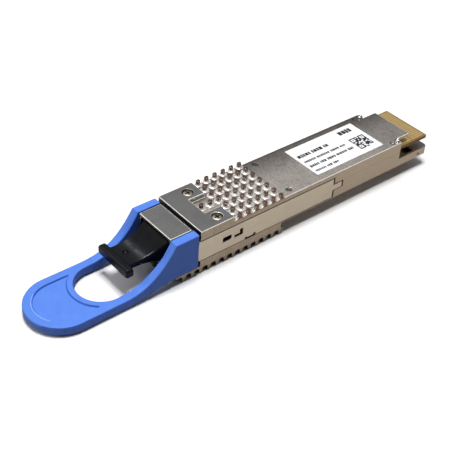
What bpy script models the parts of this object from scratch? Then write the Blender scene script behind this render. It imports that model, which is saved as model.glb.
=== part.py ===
"""Optical transceiver module: a pluggable network module with a parallel-fibre port and a pull tab.

Frame: X across the module, +Y from the pull tab to the card edge, +Z up. The world origin is the
bottom centre of the whole object. Shapes are drawn in the module's own datum, whose Y is zero at the
front face of the lid and whose Z is zero at the underside of the part that enters the cage; one
empty, module_datum, carries that datum into the world frame.
"""
import math

import bmesh
import bpy
from mathutils import Matrix

MM = 0.001
WELD = 1e-7


def mm(*values):
    """Millimetres as metres."""
    return tuple(value * MM for value in values)


# Castings: the pluggable body, its raised head and the nose that holds the port
BODY_HALF = 9.175 * MM
BODY_TOP = 8.5 * MM
SEAM_Z = 5.1 * MM
SEAM_GAP = 0.16 * MM
WALL_REAR = 74.4 * MM
HEAD_REAR = 28.1 * MM
HEAD_TOP = 9.94 * MM
LAND_REAR = 10.9 * MM
NOTCH_HALF = 3.4 * MM
NOTCH_FRONT = 5.6 * MM
NOSE_FRONT = -7.8 * MM
NOSE_HALF = 6.66 * MM
NOSE_TOP = 9.51 * MM
GROOVE_FRONT = -1.1 * MM
GROOVE_FLOOR = 7.6 * MM
SINK_ROOT = -2.0 * MM
SINK_TIP = -3.6 * MM
SINK_LEDGE = -1.5 * MM
TONGUE_HALF = 6.9 * MM
TONGUE_REAR = 79.8 * MM
ROOF_UNDER = 7.5 * MM
LIP_REAR = 87.0 * MM
LIP_TOP = 2.67 * MM
LIP_RECESS_REAR = 81.3 * MM
LIP_CORNER = 1.3 * MM
LIP_WALL = 0.8 * MM
LIP_NOTCH_Y = mm(82.8, 83.6)
LIP_NOTCH_Z = mm(0.8, 1.5)

# Inside of the castings
FLOOR_Z = 1.2 * MM
PORT_HALF = 6.1 * MM
PORT_FLOOR = 0.0
PORT_ROOF = 8.9 * MM
PORT_REAR = -1.5 * MM
BAY_HALF = 5.3 * MM
BAY_REAR = 10.0 * MM
BAY_ROOF = 7.0 * MM
CAVITY_HALF = 6.4 * MM
SHELF_HALF = 7.4 * MM
SHELF_Z = 4.7 * MM
CORNER_FRONT = 71.2 * MM
SKIN = 0.5 * MM

# Pin fins
PIN_RADIUS = 0.62 * MM
PIN_SIDES = 6
PIN_PITCH_X = 2.93 * MM
TOP_PIN_PITCH = 2.87 * MM
TOP_PIN_FIRST = 12.85 * MM
TOP_PIN_ROWS = 6
SINK_PIN_PITCH = 2.742 * MM
SINK_PIN_LAST = 27.78 * MM
SINK_PIN_ROWS = 14
PIN_COLUMNS = 7
FLUSH = 0.05 * MM

# Latch arms: stamped steel strips that slide in the side pockets
STRIP_THICK = 0.4 * MM
STRIP_BOTTOM = 0.5 * MM
STRIP_TOP = 6.8 * MM
STRIP_REAR = 47.0 * MM
STRIP_ANCHOR_FRONT = -6.4 * MM
STRIP_CLEAR = 0.3 * MM
LATCH_TOP = 4.7 * MM
LATCH_BOTTOM = 2.9 * MM
LATCH_REAR = 50.4 * MM
STRIP_SHOULDER = -0.5 * MM
STRIP_ANCHOR_Z = mm(1.4, 6.0)
ANCHOR_FIT = 0.15 * MM
SIGHT_WINDOW = mm(7.3, 10.2), mm(3.0, 4.5)
LUG_WINDOW = mm(11.3, 14.1), mm(2.8, 4.9)
LUG_FLAP = mm(8.4, 8.85), mm(10.95, 13.4), mm(3.3, 4.65)
LUG_LEG = mm(7.25, 8.85), mm(10.9, 11.35), mm(3.25, 4.7)
RELIEF_SLIT = mm(15.0, 18.6), mm(0.3, 0.75)
RELIEF_END = 0.5 * MM
RELIEF_END_TOP = 1.2 * MM
SPRING_POCKET_X = 7.0 * MM
SPRING_POCKET_REAR = 13.9 * MM
SPRING_POCKET_Z = mm(2.9, 4.9)
SPRING_FRONT = 4.5 * MM
SPRING_REAR = 10.7 * MM
SPRING_RADIUS = 0.62 * MM
SPRING_WIRE = 0.13 * MM
SPRING_TURNS = 5
SPRING_X = 7.85 * MM
SPRING_Z = 3.95 * MM

# Pull tab
TAB_HALF = 9.57 * MM
TAB_INNER = 7.05 * MM
TAB_REAR = -0.8 * MM
TAB_TOP = 9.65 * MM
TAB_BEND = -8.1 * MM
TAB_FLAT = -26.0 * MM
TAB_HANDLE_TOP = -0.65 * MM
TAB_HANDLE_BOTTOM = -3.2 * MM
TAB_ARM_BOTTOM = -1.2 * MM
TAB_TIP_CENTRE = -35.65 * MM
TAB_HOLE_CENTRE = -24.0 * MM
TAB_SWEEP_POWER = 2.85
TAB_PAD_DEPTH = 0.2 * MM
TAB_PAD_BORDER = 2.3 * MM
TAB_PAD_RIM = 1.8 * MM
TAB_UNDER_SLOPE = mm(-21.0, -8.6)

# Dust plug
PLUG_AXIS_Z = 4.35 * MM
PLUG_SHOULDER = -7.5 * MM
PLUG_NECK = -18.6 * MM
PLUG_FRONT = -20.8 * MM
PLUG_CORE_REAR = -2.2 * MM
PLUG_NECK_HALF = 4.3 * MM
PLUG_NECK_RISE = 0.95 * MM
PLUG_FLARE_HALF = 1.4 * MM
PLUG_FLARE_RISE = 2.8 * MM
PLUG_GRIP_HALF = 6.5 * MM
PLUG_GRIP_BELOW = 1.4 * MM
PLUG_GRIP_ABOVE = 1.2 * MM
PLUG_CORE = mm(4.6, 2.1)
PLUG_HOLLOW = mm(3.6, 1.3)
PLUG_HOLLOW_FRONT = -6.0 * MM

# Port and optics
FLANGE_HALF = 5.8 * MM
FLANGE_Y = mm(-7.1, -1.8)
FLANGE_Z = mm(0.3, 8.6)
RECEPTACLE_HALF = 5.1 * MM
RECEPTACLE_Y = mm(-2.1, 6.4)
RECEPTACLE_Z = mm(1.5, 6.7)
SOCKET_HALF = 4.8 * MM
SOCKET_Y = mm(-8.0, 2.0)
SOCKET_Z = mm(1.9, 6.5)
SEAT_HALF = 3.35 * MM
SEAT_Y = mm(1.5, 7.0)
SEAT_Z = mm(2.8, 5.6)
FERRULE_HALF = mm(3.2, 1.22)
FERRULE_Y = mm(-1.0, 6.9)
FERRULE_Z = 4.2 * MM
GUIDE_PIN_X = 2.3 * MM
GUIDE_PIN_RADIUS = 0.35 * MM
GUIDE_PIN_BORE = 0.45 * MM
GUIDE_PIN_Y = mm(-2.8, 8.5)
CLAMP_HALF = mm(3.1, 1.1)
CLAMP_Y = mm(7.1, 8.3)
RETAINER_HALF = 5.1 * MM
RETAINER_Y = mm(6.6, 9.2)
RETAINER_Z = mm(1.4, 6.8)
RETAINER_WINDOW_HALF = 3.5 * MM
RETAINER_WINDOW_Z = mm(2.6, 5.8)
CARRIER_HALF = 5.5 * MM
CARRIER_Y = mm(14.0, 25.0)
CARRIER_Z = mm(1.8, 5.1)
BENCH_PAD_HALF = 5.2 * MM
BENCH_PAD_Y = mm(14.4, 24.6)
BENCH_PAD_Z = mm(1.3, 1.7)
ARRAY_HALF = 2.4 * MM
ARRAY_Y = mm(14.6, 18.0)
ARRAY_TOP = 6.9 * MM
PHOTONIC_HALF = 3.0 * MM
PHOTONIC_Y = mm(18.2, 23.8)
PHOTONIC_TOP = 5.8 * MM
LASER_X = mm(3.4, 5.1)
LASER_Y = mm(18.6, 21.8)
LASER_TOP = 6.3 * MM

# Board and card edge
BOARD_BOTTOM = 5.0 * MM
BOARD_TOP = 6.0 * MM
BOARD_FRONT = 25.5 * MM
BOARD_HALF = 7.1 * MM
CARD_HALF = 8.2 * MM
CARD_SHOULDER = 74.8 * MM
CARD_REAR = 86.9 * MM
CARD_CHAMFER = 0.2 * MM
RIVET_NOTCH_HALF = 6.1 * MM
RIVET_NOTCH_FRONT = 70.8 * MM
SCREW_NOTCH_HALF = 6.3 * MM
SCREW_NOTCH_Y = mm(30.9, 32.5)
FINGER_PITCH = 0.8 * MM
FINGER_GAP = 0.24 * MM
FINGER_COUNT = 19
FINGER_HALF = 7.5 * MM
FINGER_Y = mm(75.6, 86.3)
FINGER_SLOT_Y = mm(76.4, 87.0)
FINGER_THICK = 0.08 * MM
PROCESSOR_PAD_HALF = 5.6 * MM
PROCESSOR_PAD_Y = mm(38.4, 49.6)
PROCESSOR_PAD_RISE = 1.0 * MM
FIT = 0.1 * MM
RIBBON_HALF = 1.6 * MM
RIBBON_THICK = 0.3 * MM
RIBBON_START = 5.7 * MM
RIBBON_END = 15.1 * MM
RIBBON_RISE_START = 9.2 * MM
RIBBON_RISE_END = 13.4 * MM
RIBBON_TOP_Z = 6.05 * MM

# Fasteners
FRONT_SCREW = (6.2 * MM, 7.4 * MM)
MID_SCREW = (7.05 * MM, 31.7 * MM)
REAR_RIVET = (7.7 * MM, 73.2 * MM)
FRONT_HEAD_RADIUS = 1.38 * MM
FRONT_HEAD_Z = mm(9.25, 9.75)
FRONT_SHANK_RADIUS = 0.55 * MM
FRONT_SHANK_END = 3.6 * MM
FRONT_BORE_RADIUS = 1.6 * MM
FRONT_BORE_DEPTH = 0.8 * MM
MID_HEAD_RADIUS = 0.8 * MM
MID_HEAD_Z = mm(8.0, 8.35)
MID_SHANK_RADIUS = 0.38 * MM
MID_SHANK_END = 2.6 * MM
MID_BORE_RADIUS = 0.95 * MM
MID_BORE_DEPTH = 0.6 * MM
RIVET_BORE_RADIUS = 1.1 * MM
RIVET_BORE_DEPTH = 0.45 * MM
RIVET_PROFILE = [(0.0, 0.62), (0.4, 0.58), (0.75, 0.4), (0.95, 0.1), (0.95, -0.35), (0.5, -0.35),
                 (0.5, -5.9), (0.0, -5.9)]

# Label and gasket
LABEL_X = mm(-6.9, 6.7)
LABEL_Y = mm(42.65, 69.05)
LABEL_HALF_THICK = 0.05 * MM
LABEL_MARGIN = 0.15 * MM
LABEL_RECESS = 0.35 * MM
GASKET_HALF = 6.5 * MM
GASKET_Y = mm(-0.98, -0.12)
GASKET_Z = mm(7.75, 8.7)

# The object's bottom centre, in the datum
ORIGIN_Y = (LIP_REAR + TAB_TIP_CENTRE - TAB_HALF) / 2
ORIGIN_Z = SINK_TIP

SIDES = {"right": 1, "left": -1}


def clear_scene():
    for obj in list(bpy.data.objects):
        bpy.data.objects.remove(obj)


def make_collection(name):
    collection = bpy.data.collections.new(name)
    bpy.context.scene.collection.children.link(collection)
    return collection


def make_empty(name, parent=None):
    empty = bpy.data.objects.new(name, None)
    empty.empty_display_size = 5 * MM
    empty.parent = parent
    PARTS.objects.link(empty)
    return empty


def make_material(name, colour, roughness, metallic):
    material = bpy.data.materials.new(name)
    material.use_nodes = True
    shader = material.node_tree.nodes["Principled BSDF"]
    shader.inputs["Base Color"].default_value = (*colour, 1.0)
    shader.inputs["Roughness"].default_value = roughness
    shader.inputs["Metallic"].default_value = metallic
    return material


def add_object(name, mesh, collection=None):
    """An object for a mesh that is drawn in the module datum."""
    obj = bpy.data.objects.new(name, mesh)
    (collection or CUTTERS).objects.link(obj)
    obj.parent = DATUM
    if collection is None:
        obj.hide_render = True
        obj.display_type = 'WIRE'
    return obj


def mesh_from(build):
    mesh = bpy.data.meshes.new("shape")
    work = bmesh.new()
    build(work)
    work.to_mesh(mesh)
    work.free()
    return mesh


def add_block(work, low, high):
    """A box between two corners, added to a bmesh."""
    made = bmesh.ops.create_cube(work, size=1.0)["verts"]
    size = [h - l for l, h in zip(low, high)]
    middle = [(h + l) / 2 for l, h in zip(low, high)]
    bmesh.ops.scale(work, vec=size, verts=made)
    bmesh.ops.translate(work, vec=middle, verts=made)


def block(name, x, y, z, collection=None):
    mesh = mesh_from(lambda work: add_block(work, (x[0], y[0], z[0]), (x[1], y[1], z[1])))
    return add_object(name, mesh, collection)


def centred(name, half, y, z, collection=None):
    return block(name, (-half, half), y, z, collection)


def both_sides(name, x, y, z):
    """The same box on the left and on the right, as one cutter."""
    def build(work):
        add_block(work, (x[0], y[0], z[0]), (x[1], y[1], z[1]))
        add_block(work, (-x[1], y[0], z[0]), (-x[0], y[1], z[1]))
    return add_object(name, mesh_from(build))


def add_rod(work, centre, radius, length, axis='Z', sides=12):
    """A cylinder added to a bmesh, centred on a point and lying along Y or Z."""
    tilt = Matrix.Rotation(math.pi / 2, 4, 'X') if axis == 'Y' else Matrix.Identity(4)
    bmesh.ops.create_cone(work, cap_ends=True, cap_tris=False, segments=sides, radius1=radius,
                          radius2=radius, depth=length, matrix=Matrix.Translation(centre) @ tilt)


def rods(name, centres, radius, length, axis='Z', sides=12, collection=None):
    def build(work):
        for centre in centres:
            add_rod(work, centre, radius, length, axis, sides)
    return add_object(name, mesh_from(build), collection)


def boolean(obj, other, operation='DIFFERENCE'):
    modifier = obj.modifiers.new(operation.lower(), 'BOOLEAN')
    modifier.operation = operation
    modifier.object = other
    modifier.solver = 'EXACT'


def cut(obj, *cutters):
    for cutter in cutters:
        boolean(obj, cutter)


def join(obj, *pieces):
    for piece in pieces:
        boolean(obj, piece, 'UNION')


def outline(name, points, half, plane, collection=None):
    """A flat outline extruded both ways. Plane YZ extrudes along X, plane XY along Z.

    The curve is drawn in millimetres, a scale at which its fill keeps every corner.
    """
    curve = bpy.data.curves.new(name, 'CURVE')
    curve.dimensions = '2D'
    curve.fill_mode = 'BOTH'
    curve.extrude = half / MM
    spline = curve.splines.new('POLY')
    spline.points.add(len(points) - 1)
    for point, (u, v) in zip(spline.points, points):
        point.co = (u / MM, v / MM, 0.0, 1.0)
    spline.use_cyclic_u = True
    turn = Matrix(((0, 0, 1, 0), (1, 0, 0, 0), (0, 1, 0, 0), (0, 0, 0, 1)))
    matrix = Matrix.Scale(MM, 4) @ (turn if plane == 'YZ' else Matrix.Identity(4))
    return curve_to_object(name, curve, matrix, collection)


def curve_to_object(name, curve, matrix, collection=None):
    """The curve as a closed mesh, its caps welded on, in the module datum."""
    source = bpy.data.objects.new(name + "_curve", curve)
    CUTTERS.objects.link(source)
    bpy.context.view_layer.update()
    evaluated = source.evaluated_get(bpy.context.evaluated_depsgraph_get())
    mesh = bpy.data.meshes.new_from_object(evaluated)
    bpy.data.objects.remove(source)
    work = bmesh.new()
    work.from_mesh(mesh)
    bmesh.ops.transform(work, matrix=matrix, verts=work.verts)
    bmesh.ops.remove_doubles(work, verts=work.verts, dist=WELD)
    bmesh.ops.recalc_face_normals(work, faces=work.faces)
    work.to_mesh(mesh)
    work.free()
    return add_object(name, mesh, collection)


def arc(centre, radius, start, end, steps):
    """Points on an arc, angles in degrees."""
    angles = [math.radians(start + (end - start) * i / steps) for i in range(steps + 1)]
    return [(centre[0] + radius * math.cos(a), centre[1] + radius * math.sin(a)) for a in angles]


def finish(obj, material, smooth=False):
    obj.data.materials.clear()
    obj.data.materials.append(material)
    if smooth:
        obj.data.shade_smooth()
        obj.data.set_sharp_from_angle(angle=math.radians(35))
    return obj


def pin_columns():
    middle = (PIN_COLUMNS - 1) / 2
    return [(i - middle) * PIN_PITCH_X for i in range(PIN_COLUMNS)]


def pin_field(name, places, bottom, top, front):
    """Round pins trimmed just inside the sides and the rear of the head."""
    length = top - bottom
    field = rods(name, [(x, y, bottom + length / 2) for x, y in places], PIN_RADIUS, length,
                 sides=PIN_SIDES)
    trim = centred(name + "_trim", BODY_HALF - FLUSH, (front + FLUSH, HEAD_REAR - FLUSH),
                   (bottom - FLUSH, top + FLUSH))
    boolean(field, trim, 'INTERSECT')
    return field


def strip_pockets(low, high):
    floor_x = BODY_HALF - STRIP_THICK - STRIP_CLEAR
    return both_sides("strip_pocket", (floor_x, BODY_HALF + SKIN), (-SKIN, STRIP_REAR + STRIP_CLEAR),
                      (low, high))


def screw_holes(name, place, radius, low, high, sides=12):
    x, y = place
    return rods(name, [(side * x, y, (low + high) / 2) for side in SIDES.values()], radius,
                high - low, sides=sides)


def make_lower_housing(material):
    top = SEAM_Z - SEAM_GAP / 2
    side_view = [(NOSE_FRONT, SINK_ROOT), (HEAD_REAR, SINK_ROOT), (HEAD_REAR, 0), (LIP_REAR, 0),
                 (LIP_REAR, LIP_TOP), (WALL_REAR, LIP_TOP), (WALL_REAR, top), (NOSE_FRONT, top)]
    housing = outline("lower_housing", side_view, BODY_HALF, 'YZ', PARTS)
    places = [(x, SINK_PIN_LAST - i * SINK_PIN_PITCH)
              for x in pin_columns() for i in range(SINK_PIN_ROWS)]
    join(housing, pin_field("sink_pins", places, SINK_TIP, SINK_ROOT + SKIN, NOSE_FRONT))
    above = top + SKIN
    floor_x = BODY_HALF - STRIP_THICK - STRIP_CLEAR
    cut(housing,
        both_sides("nose_flanks", (NOSE_HALF, BODY_HALF + SKIN), (NOSE_FRONT - SKIN, 0),
                   (SINK_LEDGE, above)),
        centred("port_hole", PORT_HALF, (NOSE_FRONT - SKIN, PORT_REAR), (PORT_FLOOR, above)),
        centred("receptacle_bay", BAY_HALF, (PORT_REAR - SKIN, BAY_REAR), (FLOOR_Z, above)),
        centred("cavity", CAVITY_HALF, (BAY_REAR - SKIN, CORNER_FRONT), (FLOOR_Z, above)),
        centred("board_shelf", SHELF_HALF, (BOARD_FRONT - 2 * STRIP_CLEAR, CORNER_FRONT),
                (SHELF_Z, above)),
        centred("board_mouth", CAVITY_HALF, (CORNER_FRONT - SKIN, WALL_REAR + SKIN),
                (SHELF_Z, above)),
        strip_pockets(STRIP_BOTTOM - STRIP_CLEAR, above),
        both_sides("latch_pocket", (floor_x, BODY_HALF + SKIN), (STRIP_REAR, LATCH_REAR + SKIN),
                   (LATCH_BOTTOM - STRIP_CLEAR, LATCH_TOP + FIT)),
        both_sides("spring_pocket", (SPRING_POCKET_X, floor_x + SKIN),
                   (SPRING_FRONT - STRIP_CLEAR, SPRING_POCKET_REAR), SPRING_POCKET_Z),
        centred("lip_recess", BODY_HALF - LIP_WALL, (WALL_REAR - SKIN, LIP_RECESS_REAR),
                (FLOOR_Z, LIP_TOP + FIT)),
        lip_corners(),
        both_sides("lip_notch", (BODY_HALF - SKIN, BODY_HALF + SKIN), LIP_NOTCH_Y, LIP_NOTCH_Z),
        screw_holes("front_thread", FRONT_SCREW, 0.65 * MM, 3.4 * MM, above),
        screw_holes("mid_thread", MID_SCREW, 0.5 * MM, 2.4 * MM, above),
        screw_holes("rivet_hole", REAR_RIVET, 0.6 * MM, 2.4 * MM, above))
    return finish(housing, material)


def lip_corners():
    """What is cut off the two rear corners of the lip to round them in plan."""
    def corner(side):
        x0 = side * (BODY_HALF - LIP_CORNER)
        y0 = LIP_REAR - LIP_CORNER
        angles = (0, 90) if side > 0 else (180, 90)
        far = (side * (BODY_HALF + SKIN), LIP_REAR + SKIN)
        edge = [(side * (BODY_HALF + SKIN), y0), (x0 + side * LIP_CORNER, y0)]
        return edge + arc((x0, y0), LIP_CORNER, *angles, 6)[1:] + [(x0, LIP_REAR + SKIN), far]
    right = outline("lip_corner_right", corner(1), BODY_TOP, 'XY')
    join(right, outline("lip_corner_left", corner(-1), BODY_TOP, 'XY'))
    return right


def make_upper_housing(material):
    bottom = SEAM_Z + SEAM_GAP / 2
    side_view = [(NOSE_FRONT, bottom), (WALL_REAR, bottom), (WALL_REAR, ROOF_UNDER),
                 (TONGUE_REAR, ROOF_UNDER), (TONGUE_REAR, BODY_TOP), (LAND_REAR, BODY_TOP),
                 (LAND_REAR, HEAD_TOP), (0, HEAD_TOP), (0, GROOVE_FLOOR),
                 (GROOVE_FRONT, GROOVE_FLOOR), (GROOVE_FRONT, NOSE_TOP), (NOSE_FRONT, NOSE_TOP)]
    lid = outline("upper_housing", side_view, BODY_HALF, 'YZ', PARTS)
    middle = [(0, TOP_PIN_FIRST - (i + 1) * TOP_PIN_PITCH) for i in range(2)]
    places = [(x, TOP_PIN_FIRST + i * TOP_PIN_PITCH)
              for x in pin_columns() for i in range(TOP_PIN_ROWS)] + middle
    above = HEAD_TOP + SKIN
    below = bottom - SKIN
    cut(lid, centred("land_notch", NOTCH_HALF, (NOTCH_FRONT, LAND_REAR + SKIN), (BODY_TOP, above)))
    join(lid, pin_field("top_pins", places, BODY_TOP - SKIN / 2, HEAD_TOP, NOTCH_FRONT))
    cut(lid,
        both_sides("lid_nose_flanks", (NOSE_HALF, BODY_HALF + SKIN), (NOSE_FRONT - SKIN, 0),
                   (below, above)),
        both_sides("tongue_flanks", (TONGUE_HALF, BODY_HALF + SKIN), (WALL_REAR, TONGUE_REAR + SKIN),
                   (below, above)),
        centred("port_roof", PORT_HALF, (NOSE_FRONT - SKIN, PORT_REAR), (below, PORT_ROOF)),
        centred("bay_roof", BAY_HALF, (PORT_REAR - SKIN, BAY_REAR), (below, BAY_ROOF)),
        centred("lid_cavity", SHELF_HALF, (BAY_REAR - SKIN, CORNER_FRONT), (below, ROOF_UNDER)),
        centred("lid_mouth", CAVITY_HALF, (CORNER_FRONT - SKIN, WALL_REAR + SKIN),
                (below, ROOF_UNDER - FIT)),
        strip_pockets(below, STRIP_TOP + 0.2 * MM),
        block("label_recess", (LABEL_X[0] - LABEL_MARGIN, LABEL_X[1] + LABEL_MARGIN),
              (LABEL_Y[0] - LABEL_MARGIN, LABEL_Y[1] + LABEL_MARGIN), (BODY_TOP - LABEL_RECESS, above)),
        screw_holes("front_counterbore", FRONT_SCREW, FRONT_BORE_RADIUS, HEAD_TOP - FRONT_BORE_DEPTH,
                    above, 24),
        screw_holes("front_clearance", FRONT_SCREW, 0.7 * MM, below, HEAD_TOP),
        screw_holes("mid_counterbore", MID_SCREW, MID_BORE_RADIUS, BODY_TOP - MID_BORE_DEPTH,
                    BODY_TOP + SKIN, 16),
        screw_holes("mid_clearance", MID_SCREW, 0.5 * MM, below, BODY_TOP),
        screw_holes("rivet_counterbore", REAR_RIVET, RIVET_BORE_RADIUS, BODY_TOP - RIVET_BORE_DEPTH,
                    BODY_TOP + SKIN, 16),
        screw_holes("rivet_clearance", REAR_RIVET, 0.6 * MM, below, BODY_TOP))
    return finish(lid, material)


def make_latch_arm(word, side, material):
    """One steel strip: anchor, side plate, lanced spring lug, relief slit and latch tongue."""
    outer = side * BODY_HALF
    inner = side * (BODY_HALF - STRIP_THICK)
    across = sorted((inner, outer))
    foot, head = STRIP_ANCHOR_Z
    side_view = [(STRIP_ANCHOR_FRONT, foot), (STRIP_SHOULDER, foot), (STRIP_SHOULDER, STRIP_BOTTOM),
                 (STRIP_REAR, STRIP_BOTTOM), (STRIP_REAR, LATCH_BOTTOM), (LATCH_REAR, LATCH_BOTTOM),
                 (LATCH_REAR, LATCH_TOP), (STRIP_REAR, LATCH_TOP), (STRIP_REAR, STRIP_TOP),
                 (STRIP_SHOULDER, STRIP_TOP), (STRIP_SHOULDER, head), (STRIP_ANCHOR_FRONT, head)]
    arm = outline("latch_arm_" + word, side_view, STRIP_THICK / 2, 'YZ', PARTS)
    arm.data.transform(Matrix.Translation((sum(across) / 2, 0, 0)))
    through = sorted((inner - side * SKIN, outer + side * SKIN))
    (front, rear), (low, high) = RELIEF_SLIT
    cut(arm,
        block("sight_window_" + word, through, *SIGHT_WINDOW),
        block("lug_window_" + word, through, *LUG_WINDOW),
        block("relief_slit_" + word, through, *RELIEF_SLIT),
        block("relief_front_" + word, through, (front, front + RELIEF_END), (low, RELIEF_END_TOP)),
        block("relief_rear_" + word, through, (rear - RELIEF_END, rear), (low, RELIEF_END_TOP)))
    for part, (x, y, z) in (("lug_flap_", LUG_FLAP), ("lug_leg_", LUG_LEG)):
        join(arm, block(part + word, sorted((side * x[0], side * x[1])), y, z))
    arm.parent = PULL_AXIS
    return finish(arm, material)


def make_spring(word, side, material):
    """A coil spring between the front wall of its pocket and the lug of the latch arm."""
    steps = 10 * SPRING_TURNS
    curve = bpy.data.curves.new("return_spring_" + word, 'CURVE')
    curve.dimensions = '3D'
    curve.bevel_depth = SPRING_WIRE
    curve.bevel_resolution = 1
    curve.use_fill_caps = True
    spline = curve.splines.new('POLY')
    spline.points.add(steps)
    for i, point in enumerate(spline.points):
        angle = side * 2 * math.pi * SPRING_TURNS * i / steps
        y = SPRING_FRONT + (SPRING_REAR - SPRING_FRONT) * i / steps
        point.co = (side * SPRING_X + SPRING_RADIUS * math.cos(angle), y,
                    SPRING_Z + SPRING_RADIUS * math.sin(angle), 1.0)
    spring = curve_to_object("return_spring_" + word, curve, Matrix.Identity(4), PARTS)
    return finish(spring, material, smooth=True)


def tab_sweep(y):
    """Height of the arms' top edge, falling from the bend to the flat handle."""
    share = (y - TAB_FLAT) / (TAB_BEND - TAB_FLAT)
    return TAB_HANDLE_TOP + (TAB_TOP - TAB_HANDLE_TOP) * share ** TAB_SWEEP_POWER


def tab_plan(half, front_centre, rear):
    """A plan outline with straight sides and a round front end."""
    return [(half, rear)] + [(-half, rear)] + arc((0, front_centre), half, 180, 360, 24)


def make_pull_tab(material):
    steps = 10
    sweep = [TAB_BEND + (TAB_FLAT - TAB_BEND) * i / steps for i in range(steps + 1)]
    front = TAB_TIP_CENTRE - TAB_HALF - SKIN
    side_view = ([(TAB_REAR, TAB_ARM_BOTTOM), (TAB_REAR, TAB_TOP)]
                 + [(y, tab_sweep(y)) for y in sweep]
                 + [(front, TAB_HANDLE_TOP), (front, TAB_HANDLE_BOTTOM),
                    (TAB_UNDER_SLOPE[0], TAB_HANDLE_BOTTOM), (TAB_UNDER_SLOPE[1], TAB_ARM_BOTTOM)])
    tab = outline("pull_tab", side_view, TAB_HALF + SKIN, 'YZ', PARTS)
    plan = outline("tab_plan", tab_plan(TAB_HALF, TAB_TIP_CENTRE, SKIN), 2 * BODY_TOP, 'XY')
    boolean(tab, plan, 'INTERSECT')
    strip_inner = BODY_HALF - STRIP_THICK
    cut(tab,
        outline("finger_loop", tab_plan(TAB_INNER, TAB_HOLE_CENTRE, 2 * SKIN), 2 * BODY_TOP, 'XY'),
        both_sides("anchor_pocket", (strip_inner - ANCHOR_FIT, BODY_HALF + ANCHOR_FIT),
                   (STRIP_ANCHOR_FRONT - ANCHOR_FIT, TAB_REAR + SKIN),
                   (STRIP_ANCHOR_Z[0] - ANCHOR_FIT, STRIP_ANCHOR_Z[1] + ANCHOR_FIT)),
        thumb_recess())
    tab.parent = PULL_AXIS
    return finish(tab, material)


def thumb_recess():
    """The shallow grip recess in the handle, between the loop and the round end."""
    outer = TAB_HALF - TAB_PAD_BORDER
    inner = TAB_INNER + TAB_PAD_RIM
    meet = math.degrees(math.acos(outer / inner))
    edge = arc((0, TAB_HOLE_CENTRE), inner, 360 - meet, 180 + meet, 12)
    tip = arc((0, TAB_TIP_CENTRE), outer, 180, 360, 16)
    recess = outline("thumb_recess", edge + tip, TAB_PAD_DEPTH, 'XY')
    recess.data.transform(Matrix.Translation((0, 0, TAB_HANDLE_TOP)))
    return recess


def plug_section(y):
    """Half width and half height of the plug's swept neck at y."""
    share = (y - PLUG_NECK) / (PLUG_SHOULDER - PLUG_NECK)
    half = PLUG_NECK_HALF + PLUG_FLARE_HALF * share ** 2
    return half, PLUG_NECK_RISE + PLUG_FLARE_RISE * share ** 2.4


def make_dust_plug(material):
    """A soft plug: swept neck, T-shaped grip and a hollow core that enters the port."""
    steps = 7

    def sweep(work):
        rings = []
        for i in range(steps + 1):
            y = PLUG_NECK + (PLUG_SHOULDER - PLUG_NECK) * i / steps
            half, rise = plug_section(y)
            corners = [(-half, -rise), (half, -rise), (half, rise), (-half, rise)]
            rings.append([work.verts.new((x, y, PLUG_AXIS_Z + z)) for x, z in corners])
        for near, far in zip(rings, rings[1:]):
            for i in range(4):
                j = (i + 1) % 4
                work.faces.new((near[i], near[j], far[j], far[i]))
        work.faces.new(rings[0])
        work.faces.new(list(reversed(rings[-1])))
        bmesh.ops.recalc_face_normals(work, faces=work.faces)

    plug = add_object("dust_plug", mesh_from(sweep), PARTS)
    axis = PLUG_AXIS_Z
    core_half, core_rise = PLUG_CORE
    hollow_half, hollow_rise = PLUG_HOLLOW
    join(plug,
         centred("plug_grip", PLUG_GRIP_HALF, (PLUG_FRONT, PLUG_NECK + FIT),
                 (axis - PLUG_GRIP_BELOW, axis + PLUG_GRIP_ABOVE)),
         centred("plug_core", core_half, (PLUG_SHOULDER - SKIN, PLUG_CORE_REAR),
                 (axis - core_rise, axis + core_rise)))
    cut(plug, centred("plug_hollow", hollow_half, (PLUG_HOLLOW_FRONT, PLUG_CORE_REAR + SKIN),
                      (axis - hollow_rise, axis + hollow_rise)))
    plug.parent = PLUG_AXIS
    return finish(plug, material)


def make_receptacle(material):
    body = centred("mpo_receptacle", FLANGE_HALF, FLANGE_Y, FLANGE_Z, PARTS)
    join(body, centred("receptacle_body", RECEPTACLE_HALF, RECEPTACLE_Y, RECEPTACLE_Z))
    cut(body, centred("plug_space", SOCKET_HALF, SOCKET_Y, SOCKET_Z),
        centred("ferrule_seat", SEAT_HALF, SEAT_Y, SEAT_Z))
    return finish(body, material)


def guide_pin_places(y):
    return [(side * GUIDE_PIN_X, y, FERRULE_Z) for side in SIDES.values()]


def bore_pins(name, y):
    """Cutter for the two guide pin bores, well past both ends of y."""
    return rods(name, guide_pin_places(sum(y) / 2), GUIDE_PIN_BORE, y[1] - y[0] + 2 * SKIN, 'Y', 10)


def make_ferrule(material):
    half, rise = FERRULE_HALF
    ferrule = centred("mt_ferrule", half, FERRULE_Y, (FERRULE_Z - rise, FERRULE_Z + rise), PARTS)
    cut(ferrule, bore_pins("pin_bores", FERRULE_Y),
        centred("ribbon_socket", RIBBON_HALF + FIT, (RIBBON_START - 2 * FIT, FERRULE_Y[1] + SKIN),
                (FERRULE_Z - RIBBON_THICK / 2 - FIT, FERRULE_Z + RIBBON_THICK / 2 + FIT)))
    return finish(ferrule, material)


def make_guide_pin(word, side, material):
    front, rear = GUIDE_PIN_Y
    place = (side * GUIDE_PIN_X, (front + rear) / 2, FERRULE_Z)
    pin = rods("guide_pin_" + word, [place], GUIDE_PIN_RADIUS, rear - front, 'Y', 10, PARTS)
    return finish(pin, material, smooth=True)


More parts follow.
